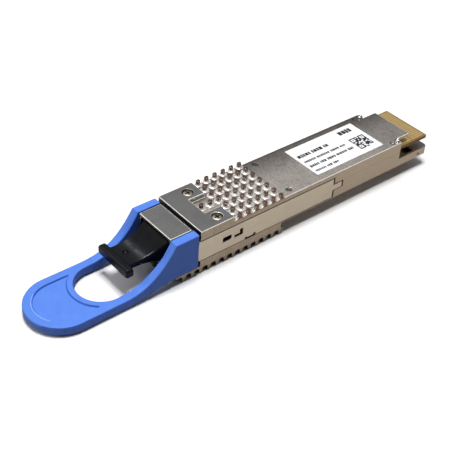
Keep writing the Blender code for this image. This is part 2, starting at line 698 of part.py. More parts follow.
def make_pin_clamp(material):
    half, rise = CLAMP_HALF
    clamp = centred("pin_clamp", half, CLAMP_Y, (FERRULE_Z - rise, FERRULE_Z + rise), PARTS)
    cut(clamp, bore_pins("clamp_bores", CLAMP_Y),
        centred("clamp_window", RIBBON_HALF + FIT, (CLAMP_Y[0] - SKIN, CLAMP_Y[1] + SKIN),
                (FERRULE_Z - RIBBON_THICK / 2 - FIT, FERRULE_Z + RIBBON_THICK / 2 + FIT)))
    return finish(clamp, material)


def make_retainer(material):
    """The stamped clip that keeps the receptacle's rear end in its bay."""
    clip = centred("receptacle_retainer", RETAINER_HALF, RETAINER_Y, RETAINER_Z, PARTS)
    cut(clip, centred("retainer_window", RETAINER_WINDOW_HALF,
                      (RETAINER_Y[0] - SKIN, RETAINER_Y[1] + SKIN), RETAINER_WINDOW_Z))
    return finish(clip, material)


def make_fibre_ribbon(material):
    """The flat fibre ribbon: out of the ferrule, up in an S bend, into the fibre array."""
    steps = 8
    rise = RIBBON_TOP_Z - FERRULE_Z
    middle = [(RIBBON_START, FERRULE_Z)]
    for i in range(steps + 1):
        share = i / steps
        y = RIBBON_RISE_START + (RIBBON_RISE_END - RIBBON_RISE_START) * share
        middle.append((y, FERRULE_Z + rise * (3 * share ** 2 - 2 * share ** 3)))
    middle.append((RIBBON_END, RIBBON_TOP_Z))
    half = RIBBON_THICK / 2
    lower = [(y, z - half) for y, z in middle]
    upper = [(y, z + half) for y, z in reversed(middle)]
    ribbon = outline("fibre_ribbon", lower + upper, RIBBON_HALF, 'YZ', PARTS)
    return finish(ribbon, material)


def make_optical_bench(materials):
    seat = CARRIER_Z[1] + FIT
    pad = centred("thermal_pad_bench", BENCH_PAD_HALF, BENCH_PAD_Y, BENCH_PAD_Z, PARTS)
    finish(pad, materials["thermal_pad"])
    carrier = centred("optics_carrier", CARRIER_HALF, CARRIER_Y, CARRIER_Z, PARTS)
    finish(carrier, materials["copper_alloy"])
    array = centred("fibre_array", ARRAY_HALF, ARRAY_Y, (seat, ARRAY_TOP), PARTS)
    cut(array, centred("array_slot", RIBBON_HALF + FIT, (ARRAY_Y[0] - SKIN, RIBBON_END + 2 * FIT),
                       (RIBBON_TOP_Z - RIBBON_THICK / 2 - FIT, RIBBON_TOP_Z + RIBBON_THICK / 2 + FIT)))
    finish(array, materials["glass"])
    chip = centred("photonic_chip", PHOTONIC_HALF, PHOTONIC_Y, (seat, PHOTONIC_TOP), PARTS)
    finish(chip, materials["silicon"])
    for word, side in SIDES.items():
        x = sorted((side * LASER_X[0], side * LASER_X[1]))
        laser = block("laser_" + word, x, LASER_Y, (seat, LASER_TOP), PARTS)
        finish(laser, materials["gold"])


def make_board(material):
    """The circuit board: narrow inside the shells, full width at its card edge."""
    edge = CARD_HALF + SKIN
    low = BOARD_BOTTOM - SKIN
    high = BOARD_TOP + SKIN
    plan = [(-CARD_HALF, BOARD_FRONT), (CARD_HALF, BOARD_FRONT), (CARD_HALF, CARD_REAR - CARD_CHAMFER),
            (CARD_HALF - CARD_CHAMFER, CARD_REAR), (CARD_CHAMFER - CARD_HALF, CARD_REAR),
            (-CARD_HALF, CARD_REAR - CARD_CHAMFER)]
    board = outline("main_board", plan, (BOARD_TOP - BOARD_BOTTOM) / 2, 'XY', PARTS)
    board.data.transform(Matrix.Translation((0, 0, (BOARD_TOP + BOARD_BOTTOM) / 2)))
    cut(board,
        both_sides("board_flanks", (BOARD_HALF, edge), (BOARD_FRONT - SKIN, CARD_SHOULDER), (low, high)),
        both_sides("rivet_notch", (RIVET_NOTCH_HALF, edge), (RIVET_NOTCH_FRONT, CARD_SHOULDER),
                   (low, high)),
        both_sides("screw_notch", (SCREW_NOTCH_HALF, edge), SCREW_NOTCH_Y, (low, high)))
    return finish(board, material)


def make_contacts(word, low, high, material):
    """One face's row of contact strips, tied by the plating bar at their inner end."""
    contacts = centred("contact_strips_" + word, FINGER_HALF, FINGER_Y, (low, high), PARTS)
    middles = [(i - (FINGER_COUNT - 2) / 2) * FINGER_PITCH for i in range(FINGER_COUNT - 1)]
    front, rear = FINGER_SLOT_Y

    def slots(work):
        for x in middles:
            add_block(work, (x - FINGER_GAP / 2, front, low - SKIN), (x + FINGER_GAP / 2, rear, high + SKIN))

    cut(contacts, add_object("contact_slots_" + word, mesh_from(slots)))
    return finish(contacts, material)


def make_electronics(materials):
    """Chips and power parts on the board: name, x and y range and height in mm, material."""
    seat = BOARD_TOP + FIT
    chips = [
        ("signal_processor", (-6.0, 6.0), (38.0, 50.0), 0.9, "chip_black"),
        ("modulator_driver", (-5.6, -1.0), (26.6, 30.0), 0.7, "silicon"),
        ("receiver_amplifier", (1.0, 5.6), (26.6, 30.0), 0.7, "silicon"),
        ("microcontroller", (-2.0, 2.0), (53.0, 57.0), 0.8, "chip_black"),
        ("clock_oscillator", (3.4, 5.9), (53.4, 55.4), 0.8, "brushed_can"),
        ("power_regulator", (-6.2, -3.2), (53.0, 56.0), 0.8, "chip_black"),
        ("power_inductor_left", (-5.8, -2.8), (60.0, 63.0), 1.2, "ferrite"),
        ("power_inductor_middle", (-1.5, 1.5), (60.0, 63.0), 1.2, "ferrite"),
        ("power_inductor_right", (2.8, 5.8), (60.0, 63.0), 1.2, "ferrite"),
    ]
    for name, x, y, height, material in chips:
        chip = block(name, mm(*x), mm(*y), (seat, seat + height * MM), PARTS)
        finish(chip, materials[material])
    pad = centred("thermal_pad_processor", PROCESSOR_PAD_HALF, PROCESSOR_PAD_Y,
                  (seat + PROCESSOR_PAD_RISE, ROOF_UNDER - FIT), PARTS)
    finish(pad, materials["thermal_pad"])


def make_screw(name, place, head_radius, head_z, shank_radius, shank_end, material):
    """A screw with a crossed recess in its head."""
    x, y = place
    low, top = head_z
    head = rods(name, [(x, y, (low + top) / 2)], head_radius, top - low, sides=16, collection=PARTS)
    shank_top = low + FIT
    join(head, rods(name + "_shank", [(x, y, (shank_end + shank_top) / 2)], shank_radius,
                    shank_top - shank_end, sides=10))
    arm = head_radius * 0.6
    web = head_radius * 0.13
    recess = (top - (top - low) * 0.6, top + SKIN)
    cross = block(name + "_slot", (x - arm, x + arm), (y - web, y + web), recess)
    join(cross, block(name + "_slot_across", (x - web, x + web), (y - arm, y + arm), recess))
    cut(head, cross)
    return finish(head, material, smooth=True)


def make_rivet(name, place, material):
    """A rear rivet with a domed head that stands proud of the lid."""
    x, y = place
    mesh = bpy.data.meshes.new(name)
    mesh.from_pydata([(r * MM, 0, z * MM) for r, z in RIVET_PROFILE],
                     [(i, i + 1) for i in range(len(RIVET_PROFILE) - 1)], [])
    rivet = add_object(name, mesh, PARTS)
    rivet.location = (x, y, BODY_TOP)
    screw = rivet.modifiers.new("turn", 'SCREW')
    screw.steps = 12
    screw.render_steps = 12
    screw.use_merge_vertices = True
    screw.merge_threshold = 0.00001
    return finish(rivet, material, smooth=True)


def make_fasteners(steel):
    for word, side in SIDES.items():
        front = (side * FRONT_SCREW[0], FRONT_SCREW[1])
        make_screw("front_screw_" + word, front, FRONT_HEAD_RADIUS, FRONT_HEAD_Z, FRONT_SHANK_RADIUS,
                   FRONT_SHANK_END, steel)
        middle = (side * MID_SCREW[0], MID_SCREW[1])
        make_screw("mid_screw_" + word, middle, MID_HEAD_RADIUS, MID_HEAD_Z, MID_SHANK_RADIUS,
                   MID_SHANK_END, steel)
        make_rivet("rear_rivet_" + word, (side * REAR_RIVET[0], REAR_RIVET[1]), steel)


def make_label(material):
    label = block("label", LABEL_X, LABEL_Y, (BODY_TOP - LABEL_HALF_THICK, BODY_TOP + LABEL_HALF_THICK),
                  PARTS)
    return finish(label, material)


def make_gasket(material):
    gasket = centred("emi_gasket", GASKET_HALF, GASKET_Y, GASKET_Z, PARTS)
    return finish(gasket, material)


def make_materials():
    table = {
        "nickel_casting": ((0.34, 0.31, 0.27), 0.38, 1.0),
        "stamped_steel": ((0.52, 0.48, 0.42), 0.32, 1.0),
        "bright_steel": ((0.72, 0.71, 0.68), 0.2, 1.0),
        "blue_polymer": ((0.09, 0.24, 0.78), 0.5, 0.0),
        "black_rubber": ((0.012, 0.012, 0.014), 0.55, 0.0),
        "black_plastic": ((0.02, 0.02, 0.02), 0.4, 0.0),
        "ferrule_resin": ((0.05, 0.05, 0.055), 0.45, 0.0),
        "ribbon_jacket": ((0.1, 0.55, 0.6), 0.4, 0.0),
        "glass": ((0.8, 0.85, 0.85), 0.1, 0.0),
        "silicon": ((0.12, 0.12, 0.16), 0.15, 0.6),
        "copper_alloy": ((0.62, 0.42, 0.28), 0.35, 1.0),
        "gold": ((0.83, 0.62, 0.28), 0.28, 1.0),
        "board_green": ((0.02, 0.2, 0.07), 0.45, 0.0),
        "chip_black": ((0.025, 0.025, 0.03), 0.5, 0.0),
        "ferrite": ((0.12, 0.12, 0.12), 0.6, 0.0),
        "brushed_can": ((0.6, 0.6, 0.6), 0.3, 1.0),
        "thermal_pad": ((0.45, 0.5, 0.6), 0.8, 0.0),
        "label_film": ((0.86, 0.86, 0.88), 0.45, 0.0),
        "gasket_black": ((0.015, 0.015, 0.015), 0.8, 0.0),
    }
    return {name: make_material(name, *values) for name, values in table.items()}


def build():
    materials = make_materials()
    make_lower_housing(materials["nickel_casting"])
    make_upper_housing(materials["nickel_casting"])
    make_pull_tab(materials["blue_polymer"])
    for word, side in SIDES.items():
        make_latch_arm(word, side, materials["stamped_steel"])
        make_spring(word, side, materials["bright_steel"])
        make_guide_pin(word, side, materials["bright_steel"])
    make_dust_plug(materials["black_rubber"])
    make_receptacle(materials["black_plastic"])
    make_ferrule(materials["ferrule_resin"])
    make_pin_clamp(materials["bright_steel"])
    make_retainer(materials["stamped_steel"])
    make_fibre_ribbon(materials["ribbon_jacket"])
    make_optical_bench(materials)
    make_board(materials["board_green"])
    lift = FINGER_THICK / 2
    make_contacts("top", BOARD_TOP + lift, BOARD_TOP + 3 * lift, materials["gold"])
    make_contacts("bottom", BOARD_BOTTOM - 3 * lift, BOARD_BOTTOM - lift, materials["gold"])
    make_electronics(materials)
    make_fasteners(materials["bright_steel"])
    make_label(materials["label_film"])
    make_gasket(materials["gasket_black"])


clear_scene()
PARTS = make_collection("optical_transceiver_module")
CUTTERS = make_collection("cutters")
DATUM = make_empty("module_datum")
DATUM.location = (0, -ORIGIN_Y, -ORIGIN_Z)
PULL_AXIS = make_empty("pull_slide_axis", DATUM)
PLUG_AXIS = make_empty("plug_slide_axis", DATUM)
build()
bpy.context.view_layer.update()
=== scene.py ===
"""The looks of the optical transceiver module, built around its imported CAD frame.

Pieces are drawn in millimetres in the module's own datum, as in the CAD source: y is zero at the front
face of the lid and z is zero at the underside of the body that enters the cage. TO_WORLD takes that
datum to the frame, whose unit is the metre.
"""
import math
import random

import bmesh
import bpy
from mathutils import Matrix, Vector


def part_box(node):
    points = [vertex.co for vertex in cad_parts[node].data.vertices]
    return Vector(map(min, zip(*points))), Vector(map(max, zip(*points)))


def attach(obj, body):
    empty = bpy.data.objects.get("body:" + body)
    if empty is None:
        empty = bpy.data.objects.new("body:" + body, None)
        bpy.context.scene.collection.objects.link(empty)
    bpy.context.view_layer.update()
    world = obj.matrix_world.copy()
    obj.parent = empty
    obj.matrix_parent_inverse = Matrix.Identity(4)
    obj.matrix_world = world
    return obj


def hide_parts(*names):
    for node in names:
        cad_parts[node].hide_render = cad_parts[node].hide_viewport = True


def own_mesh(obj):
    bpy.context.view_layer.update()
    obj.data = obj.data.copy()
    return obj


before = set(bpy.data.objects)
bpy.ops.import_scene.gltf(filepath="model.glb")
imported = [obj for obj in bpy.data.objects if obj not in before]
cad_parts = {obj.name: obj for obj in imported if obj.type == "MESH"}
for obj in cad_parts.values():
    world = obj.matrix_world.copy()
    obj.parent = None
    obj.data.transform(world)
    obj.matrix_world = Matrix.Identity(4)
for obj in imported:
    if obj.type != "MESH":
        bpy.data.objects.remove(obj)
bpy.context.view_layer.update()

MM = 0.001
BODY = "module_body"
TAB = "release_tab"
PLUG = "port_plug"
SIDES = {"right": 1, "left": -1}

# Driving sizes of the castings, in millimetres
NOSE_FRONT = -7.8
SINK_TIP = -3.6
BODY_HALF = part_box("lower_housing")[1].x / MM
BODY_TOP = 8.5
SEAM_Z = 5.1
SEAM_GAP = 0.05
SEAM_SPARE = 0.6
WALL_REAR = 74.4
HEAD_REAR = 28.1
HEAD_TOP = 9.94
LAND_REAR = 10.9
NOTCH_HALF = 3.4
NOTCH_FRONT = 5.6
NOSE_HALF = 6.66
NOSE_TOP = 9.51
GROOVE_FRONT = -1.1
GROOVE_FLOOR = 7.6
SINK_ROOT = -2.0
SINK_LEDGE = -1.5
TONGUE_HALF = 6.9
TONGUE_REAR = 79.8
ROOF_UNDER = 7.5
FLOOR_TOP = 1.2
LIP_REAR = 87.0
LIP_TOP = 2.67
LIP_RECESS_REAR = 81.3
LIP_CORNER = 1.3
LID_ROUND = 0.17
BASE_ROUND = 0.14
SKIN = 0.5

# Openings of the castings; a bore is its radius and depth, a screw head its radius, bottom and top
PORT_HALF = 6.1
PORT_ROOF = 8.9
PORT_REAR = -1.5
BAY_HALF = 5.3
BAY_ROOF = 7.0
BAY_REAR = 10.0
SHELF_HALF = 7.4
SHELF_Z = 4.7
CAVITY_HALF = 6.4
CAVITY_REAR = 71.2
LABEL_X = (-6.95, 6.75)
LABEL_Y = (42.7, 69.0)
FRONT_SCREW = (6.2, 7.4)
MID_SCREW = (7.05, 31.7)
REAR_HOLE = (7.75, 71.8)
REAR_BOSS = (7.75, 74.0)
FRONT_BORE = (1.52, 0.8)
MID_BORE = (0.9, 0.4)
REAR_BORE = (0.75, 0.35)
FRONT_HEAD = (1.38, 9.2, 9.78)
MID_HEAD = (0.8, 8.0, 8.3)
BOARD_FRONT = 24.9
SPRING_POCKET = ((4.2, 13.9), (2.9, 4.9))
SIDE_NICK = ((82.8, 83.6), (0.9, 1.4))

# Pin fins
PIN_RADIUS = 0.62
PIN_SEGMENTS = 24
PIN_COLUMNS = 7
PIN_PITCH_X = 2.93
TOP_PIN_PITCH = 2.87
TOP_PIN_FIRST = 12.85
TOP_PIN_ROWS = 6
TOP_FILLET = 0.66
SINK_PIN_PITCH = 2.742
SINK_PIN_LAST = 27.78
SINK_PIN_ROWS = 14
SINK_FILLET = 0.6

# Latch strips
STRIP_THICK = 0.4
TANG_FRONT = -6.4
TANG_REAR = -0.5
TANG_LOW = 1.4
TANG_HIGH = 6.0
STRIP_BOTTOM = 0.5
STRIP_TOP = 6.8
STRIP_REAR = 47.0
LATCH_REAR = 50.4
LATCH_BOTTOM = 2.9
LATCH_TOP = 4.7
STRIP_GAP = 0.2
STRIP_SLACK = 0.5
POCKET_X = BODY_HALF - 0.7
STRIP_WINDOWS = (((7.3, 10.2), (3.0, 4.5)), ((11.2, 14.1), (2.8, 4.9)))
STRIP_SLOT = ((15.2, 18.4), (0.3, 0.85))
STRIP_SLOT_ENDS = (((15.3, 0.85), 0.4), ((18.3, 0.95), 0.45))
FLAP = ((8.42, 8.8), (10.9, 13.35), (3.25, 4.6))
SPRING_LEG = ((7.25, 8.8), (10.9, 11.3), (3.3, 4.55))

# Return springs, between the front of their pockets and the strips' legs
SPRING_Y = (4.4, 10.83)
SPRING_X = 7.85
SPRING_Z = 3.95
SPRING_RADIUS = 0.6
SPRING_WIRE = 0.12
SPRING_TURNS = 7

# Pull tab
TAB_HALF = 9.57
TAB_INNER = 7.05
TAB_REAR = -0.8
TAB_TOP = 9.65
TAB_BEND = -8.1
TAB_FLAT = -26.0
TAB_HANDLE_TOP = -0.65
TAB_HANDLE_BOTTOM = -3.2
TAB_ARM_BOTTOM = -1.2
TAB_TIP = -35.65
TAB_HOLE = -24.0
TAB_POWER = 2.85
PAD_DEPTH = 0.42
PAD_RIM = 2.42
PAD_STEP = 0.15
# Width of the painted highlight line on the pad's rim
HIGHLIGHT_LINE_WIDTH = 0.22

# Dust plug
PLUG_Z = 4.35
GRIP_HALF = 6.5
GRIP_LOW = PLUG_Z - 1.5
GRIP_TOP = PLUG_Z + 1.15
GRIP_ROUNDS = ((0.5, -20.8), (0.22, -20.74), (0.06, -20.55), (0.0, -20.3),
               (0.0, -19.2), (0.06, -18.95), (0.22, -18.76), (0.5, -18.7))
NECK_Y = (-18.2, -7.6)
CORE_Y = (-7.6, -2.2)
CORE_HALF = (4.6, 2.1)
CORE_HOLLOW = (3.6, 1.3)
NECK_TOP = PLUG_Z + 0.69
DIMPLE = (-0.3, -16.6)
DIMPLE_PROFILE = ((0, -0.5), (0.6, -0.48), (0.76, -0.38), (0.84, 0.1), (0.9, 0.5), (0, 0.5))

# Card
CARD_TOP = 6.0
CARD_BOTTOM = 5.0
CONTACT_PITCH = 0.8
CARD_BARE = 76.2
CONTACT_COUNT = 19
CONTACT_HALF = 0.31
CONTACT_ROWS = ((75.7, 81.0), (81.35, 86.25))
CONTACT_THICK = 0.06

# Looks
NICKEL = (0.54, 0.50, 0.45)
# Near-black that the painted shade in hollows blends towards
HOLLOW_SHADE = (0.01, 0.009, 0.008)
EVEN = (1, 1, 1)
WHOLE_WIDTH = (-12.0, 1.0)
# Painted reflection: faces towards ±x turn lighter towards the rear
SIDE_PAINTED_LIGHT = (30.0, 26.0, (0.76, 0.7, 0.63))
# Painted reflection on faces facing up or down: darker at the far (-x) edge, brighter from the middle
# to the near (+x) side, and darker towards the rear
TOP_PAINTED_LIGHT = ((0, *WHOLE_WIDTH, (0.4, 0.4, 0.4)), (0, -8.7, 0.6, (1.48, 1.48, 1.48)),
             (0, -7.5, 8.5, (2.4, 2.4, 2.4)), (1, 64.0, 8.0, (0.8, 0.8, 0.82)))
FLOOR_SEEN = (0.96, 0.96, 0.96)
FLOOR_BOUNCE = (0.39, 0.33, 0.265)

TO_WORLD = (Matrix.Translation((0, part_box("upper_housing")[0].y - NOSE_FRONT * MM,
                                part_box("lower_housing")[0].z - SINK_TIP * MM))
            @ Matrix.Scale(MM, 4))


# ---- materials

class Tree:
    """A node tree with short ways to add nodes and links."""

    def __init__(self, tree):
        self.tree = tree

    def node(self, kind, **values):
        made = self.tree.nodes.new(kind)
        for key, value in values.items():
            setattr(made, key, value)
        return made

    def link(self, a, b):
        self.tree.links.new(a, b)

    def split(self, vector):
        """The three outputs of a vector's parts."""
        node = self.node("ShaderNodeSeparateXYZ")
        self.link(vector, node.inputs["Vector"])
        return node.outputs

    def remap(self, value, low, high, start=0.3, end=0.7):
        """Takes a value's range from start to end to the one from low to high."""
        node = self.node("ShaderNodeMapRange")
        ends = {"From Min": start, "From Max": end, "To Min": low, "To Max": high}
        for socket, number in ends.items():
            node.inputs[socket].default_value = number
        self.link(value, node.inputs["Value"])
        return node.outputs["Result"]


class Shader(Tree):
    """A small builder for one procedural material."""

    def __init__(self, name, colour, roughness, metallic=0.0, constants=None):
        self.material = bpy.data.materials.new(name)
        self.material.use_nodes = True
        super().__init__(self.material.node_tree)
        self.bsdf = self.tree.nodes["Principled BSDF"]
        values = {"Base Color": (*colour, 1.0), "Roughness": roughness, "Metallic": metallic}
        for socket, value in {**values, **(constants or {})}.items():
            self.bsdf.inputs[socket].default_value = value
        self.coords = self.node("ShaderNodeTexCoord").outputs["Object"]

    def noise(self, scale, stretch, detail=3.0):
        """A noise whose features are about 1 / scale millimetres wide."""
        mapping = self.node("ShaderNodeMapping")
        mapping.inputs["Scale"].default_value = [s / MM for s in stretch]
        self.link(self.coords, mapping.inputs["Vector"])
        noise = self.node("ShaderNodeTexNoise")
        noise.inputs["Scale"].default_value = scale
        noise.inputs["Detail"].default_value = detail
        noise.inputs["Roughness"].default_value = 0.55
        self.link(mapping.outputs["Vector"], noise.inputs["Vector"])
        return noise.outputs["Fac"]

    def blend(self, factor, other, kind='MIX'):
        """Mixes the colour so far with another one by a factor."""
        mix = self.node("ShaderNodeMix", data_type='RGBA', blend_type=kind)
        self.link(factor, mix.inputs["Factor"])
        colour = self.bsdf.inputs["Base Color"]
        if colour.is_linked:
            self.link(colour.links[0].from_socket, mix.inputs["A"])
        else:
            mix.inputs["A"].default_value = colour.default_value
        mix.inputs["B"].default_value = (*other, 1.0)
        self.link(mix.outputs["Result"], colour)

    def vary(self, scale, other, share=0.5, stretch=EVEN, detail=3.0):
        """Blends the colour towards another one by a noise."""
        self.blend(self.remap(self.noise(scale, stretch, detail), 0.0, share), other)

    def facing(self, axis):
        """How far the surface faces along an axis, from 0 to 1."""
        size = self.node("ShaderNodeMath", operation='ABSOLUTE')
        normal = self.node("ShaderNodeNewGeometry").outputs["Normal"]
        self.link(self.split(normal)[axis], size.inputs[0])
        return size.outputs["Value"]

    def band(self, axis, start, width, other, facing=None, kind='MIX'):
        """Turns to another colour where the datum's axis passes start, over a width in millimetres."""
        level = (TO_WORLD @ Vector([start if i == axis else 0.0 for i in range(3)]))[axis]
        share = self.remap(self.split(self.coords)[axis], 0.0, 1.0, level, level + width * MM)
        if facing is not None:
            product = self.node("ShaderNodeMath", operation='MULTIPLY')
            self.link(share, product.inputs[0])
            self.link(self.facing(facing), product.inputs[1])
            share = product.outputs["Value"]
        self.blend(share, other, kind)

    def paint_hollow_shade(self, reach, share, start=0.35, end=0.95):
        """Paints shade into the colour, by ambient occlusion, in hollows narrower than about reach
        millimetres.
        """
        shelter = self.node("ShaderNodeAmbientOcclusion", samples=8)
        shelter.inputs["Distance"].default_value = reach * MM
        self.blend(self.remap(shelter.outputs["AO"], share, 0.0, start, end), HOLLOW_SHADE)

    def gloss(self, scale, low, high, stretch=EVEN):
        """Varies the roughness between two values by a noise."""
        self.link(self.remap(self.noise(scale, stretch), low, high), self.bsdf.inputs["Roughness"])

    def bump(self, scale, height, stretch=EVEN, detail=3.0):
        """Adds a bump of that height in millimetres."""
        node = self.node("ShaderNodeBump")
        node.inputs["Strength"].default_value = 1.0
        node.inputs["Distance"].default_value = height * MM
        self.link(self.noise(scale, stretch, detail), node.inputs["Height"])
        self.link(node.outputs["Normal"], self.bsdf.inputs["Normal"])


def tone(colour, factor):
    return tuple(c * factor for c in colour)


def make_materials():
    """Every material by its short name. The lists hold the arguments of vary, gloss and bump."""
    made = {}

    def add(key, name, colour, metallic, varies, gloss, bump=None, constants=None):
        shader = Shader(name, colour, (gloss[1] + gloss[2]) / 2, metallic, constants)
        for change in varies:
            shader.vary(*change)
        shader.gloss(*gloss)
        if bump:
            shader.bump(*bump)
        made[key] = shader.material
        return shader

    # Two copies of the cast nickel; the sink copy, on the base and the bottom fins, paints shade over a
    # longer reach, as painted shade under the body and between the fins
    for key, reach, shelter in (("casting", 1.6, (0.35, 0.95)), ("sink", 5.0, (0.25, 0.7))):
        cast = add(key, "cast_nickel_" + key, NICKEL, 1.0,
                   [(0.09, tone(NICKEL, 0.68), 0.9), (0.5, tone(NICKEL, 1.3), 0.75)],
                   (2.5, 0.24, 0.46), (3.0, 0.034, EVEN, 6.0))
        # Painted reflection: lighter side faces towards the rear
        cast.band(1, *SIDE_PAINTED_LIGHT, facing=0)
        cast.vary(2.2, tone(NICKEL, 1.4), 0.5, detail=6.0)
        cast.vary(3.5, tone(NICKEL, 0.7), 0.35, detail=6.0)
        # Painted reflection across the flat tops: darker far side and rear, brighter near side
        for axis, start, width, factor in TOP_PAINTED_LIGHT:
            cast.band(axis, start, width, factor, facing=2, kind='MULTIPLY')
        # Painted shade in the hollows
        cast.paint_hollow_shade(reach, 0.98, *shelter)

    land = (0.335, 0.335, 0.33)
    add("land", "ground_nickel", land, 1.0,
        [(0.14, tone(land, 0.72), 0.9), (4.0, tone(land, 1.5), 0.4, (1, 0.4, 1), 5.0)],
        (5.0, 0.28, 0.42), (4.0, 0.012, EVEN, 5.0))
    # Near-white rounds on the lid's top edges: painted highlight
    edge = (1.0, 0.97, 0.92)
    add("edge", "painted_highlight_edge", edge, 0.2, [(1.2, tone(edge, 0.72), 0.5)], (2.0, 0.24, 0.4))
    # Near-white fillets at the pins' roots: painted highlight
    root = (0.98, 0.94, 0.91)
    add("root", "fin_root_painted_highlight", root, 0.6, [(1.0, tone(root, 0.7), 0.7)], (2.0, 0.2, 0.34))
    # Dark brown copy of the casting for the pins: painted shade
    fin = (0.3, 0.21, 0.17)
    pins = add("pin", "pin_nickel_painted_shade", fin, 1.0, [(0.8, tone(fin, 0.7), 0.7)],
               (2.5, 0.2, 0.36), (4.0, 0.008))
    # Painted shade where the pins stand close together
    pins.paint_hollow_shade(1.2, 0.8)
    steel = (0.93, 0.915, 0.865)
    add("strip", "satin_strip", steel, 1.0,
        [(0.25, tone(steel, 0.88), 0.6), (8.0, tone(steel, 0.8), 0.35, (1, 0.06, 1))],
        (7.0, 0.33, 0.47, (1, 0.1, 1)), (9.0, 0.003, (1, 0.08, 1)))
    beige = (0.62, 0.56, 0.44)
    add("screw", "screw_steel", beige, 1.0, [(1.5, tone(beige, 0.7), 0.6)],
        (3.0, 0.26, 0.42), (5.0, 0.008))
    bright = (0.86, 0.85, 0.82)
    add("bright", "bright_steel", bright, 1.0, [(1.5, tone(bright, 0.75), 0.5)],
        (3.0, 0.12, 0.28), (6.0, 0.004))
    add("dark_steel", "darkened_steel", (0.2, 0.18, 0.16), 1.0, [(2.0, (0.34, 0.3, 0.26), 0.6)],
        (3.0, 0.3, 0.5), (4.0, 0.01))
    # Near-black on walls and recess floors that stay in shade: painted shadow
    add("pocket", "pocket_black", (0.012, 0.011, 0.01), 0.0, [(3.0, (0.025, 0.022, 0.02), 0.5)],
        (4.0, 0.5, 0.7))

    blue = (0.095, 0.229, 0.76)
    rubber = add("blue", "blue_elastomer", blue, 0.0,
                 [(0.12, (0.108, 0.25, 0.82), 0.7), (0.45, tone(blue, 0.84), 0.6, EVEN, 5.0),
                  (3.0, tone(blue, 0.86), 0.4)],
                 (2.0, 0.46, 0.62), (5.0, 0.012, EVEN, 4.0),
                 {"Specular IOR Level": 0.42, "Specular Tint": (0.55, 0.75, 1.0, 1.0)})
    # Painted light: faces towards ±x are tinted bluer and less red than the top
    rubber.band(0, *WHOLE_WIDTH, (0.94, 1.0, 1.22), facing=0, kind='MULTIPLY')
    # Darker blue on the walls of the step round the thumb recess: painted shade
    add("recess", "painted_shade_elastomer", (0.045, 0.135, 0.56), 0.0, [(0.5, (0.03, 0.1, 0.44), 0.6)],
        (2.0, 0.5, 0.65), (5.0, 0.012, EVEN, 4.0))
    # Pale blue line on the pad's outer rim near the tip: painted highlight
    add("rim_highlight", "painted_highlight_elastomer", (0.3, 0.46, 0.94), 0.0, [(0.8, (0.14, 0.3, 0.84), 0.8)],
        (2.0, 0.42, 0.58), (5.0, 0.012, EVEN, 4.0))
    add("black_rubber", "black_rubber", (0.003, 0.003, 0.0035), 0.0,
        [(0.5, (0.006, 0.006, 0.007), 0.7)], (0.4, 0.18, 0.32), (2.0, 0.003),
        {"Specular IOR Level": 0.26, "Specular Tint": (0.85, 0.9, 1.0, 1.0)})
    add("black_plastic", "black_plastic", (0.012, 0.012, 0.013), 0.0,
        [(1.0, (0.02, 0.02, 0.021), 0.6)], (3.0, 0.38, 0.55), (5.0, 0.01))
    add("resin", "ferrule_resin", (0.05, 0.05, 0.055), 0.0, [(4.0, (0.09, 0.09, 0.1), 0.5)],
        (4.0, 0.3, 0.5), (6.0, 0.006))

    plating = (0.84, 0.62, 0.26)
    add("gold", "gold_plating", plating, 0.85,
        [(0.5, (0.92, 0.72, 0.36), 0.6), (6.0, tone(plating, 0.85), 0.3, (1, 0.1, 1))],
        (4.0, 0.36, 0.5), (6.0, 0.003))
    board = add("board", "board_green", (0.015, 0.13, 0.045), 0.0, [(0.7, (0.03, 0.2, 0.07), 0.6)],
                (3.0, 0.28, 0.45), (4.0, 0.006))
    board.band(1, CARD_BARE, 0.15, (0.24, 0.14, 0.05))
    add("chip", "chip_black", (0.022, 0.022, 0.024), 0.0, [(3.0, (0.04, 0.04, 0.043), 0.6)],
        (5.0, 0.42, 0.6), (8.0, 0.006))
    add("silicon", "silicon_die", (0.14, 0.14, 0.19), 0.7, [(1.2, (0.2, 0.16, 0.24), 0.6)],
        (4.0, 0.1, 0.22), (6.0, 0.002))
    add("copper", "copper_tungsten", (0.62, 0.4, 0.26), 1.0, [(1.5, (0.5, 0.34, 0.25), 0.6)],
        (4.0, 0.28, 0.42, (1, 0.1, 1)), (6.0, 0.004))
    add("glass", "polished_glass", (0.82, 0.88, 0.88), 0.0, [(1.0, (0.7, 0.8, 0.82), 0.4)],
        (3.0, 0.05, 0.14), None, {"Transmission Weight": 0.6})
    fibres = (1, 0.02, 1)
    add("ribbon", "ribbon_jacket", (0.06, 0.42, 0.5), 0.0, [(3.9, (0.1, 0.55, 0.62), 0.8, fibres)],
        (4.0, 0.28, 0.42), (3.9, 0.03, fibres))
    add("ferrite", "pressed_ferrite", (0.1, 0.1, 0.105), 0.0, [(4.0, (0.17, 0.17, 0.17), 0.6)],
        (5.0, 0.5, 0.7), (6.0, 0.012))
    add("pad", "thermal_pad", (0.42, 0.47, 0.58), 0.0, [(2.0, (0.5, 0.55, 0.64), 0.6)],
        (3.0, 0.65, 0.85), (2.0, 0.03))
    add("gasket", "gasket_foam", (0.012, 0.012, 0.012), 0.0, [(6.0, (0.03, 0.03, 0.03), 0.6)],
        (4.0, 0.7, 0.9), (6.0, 0.03))
    add("paper", "label_film", (0.84, 0.845, 0.87), 0.0, [(0.3, (0.9, 0.9, 0.91), 0.6)],
        (2.0, 0.36, 0.5), (3.0, 0.004), {"Specular IOR Level": 0.4})
    add("ink", "label_ink", (0.008, 0.008, 0.009), 0.0, [(5.0, (0.02, 0.02, 0.022), 0.6)],
        (4.0, 0.42, 0.6))
    return made


# ---- mesh helpers

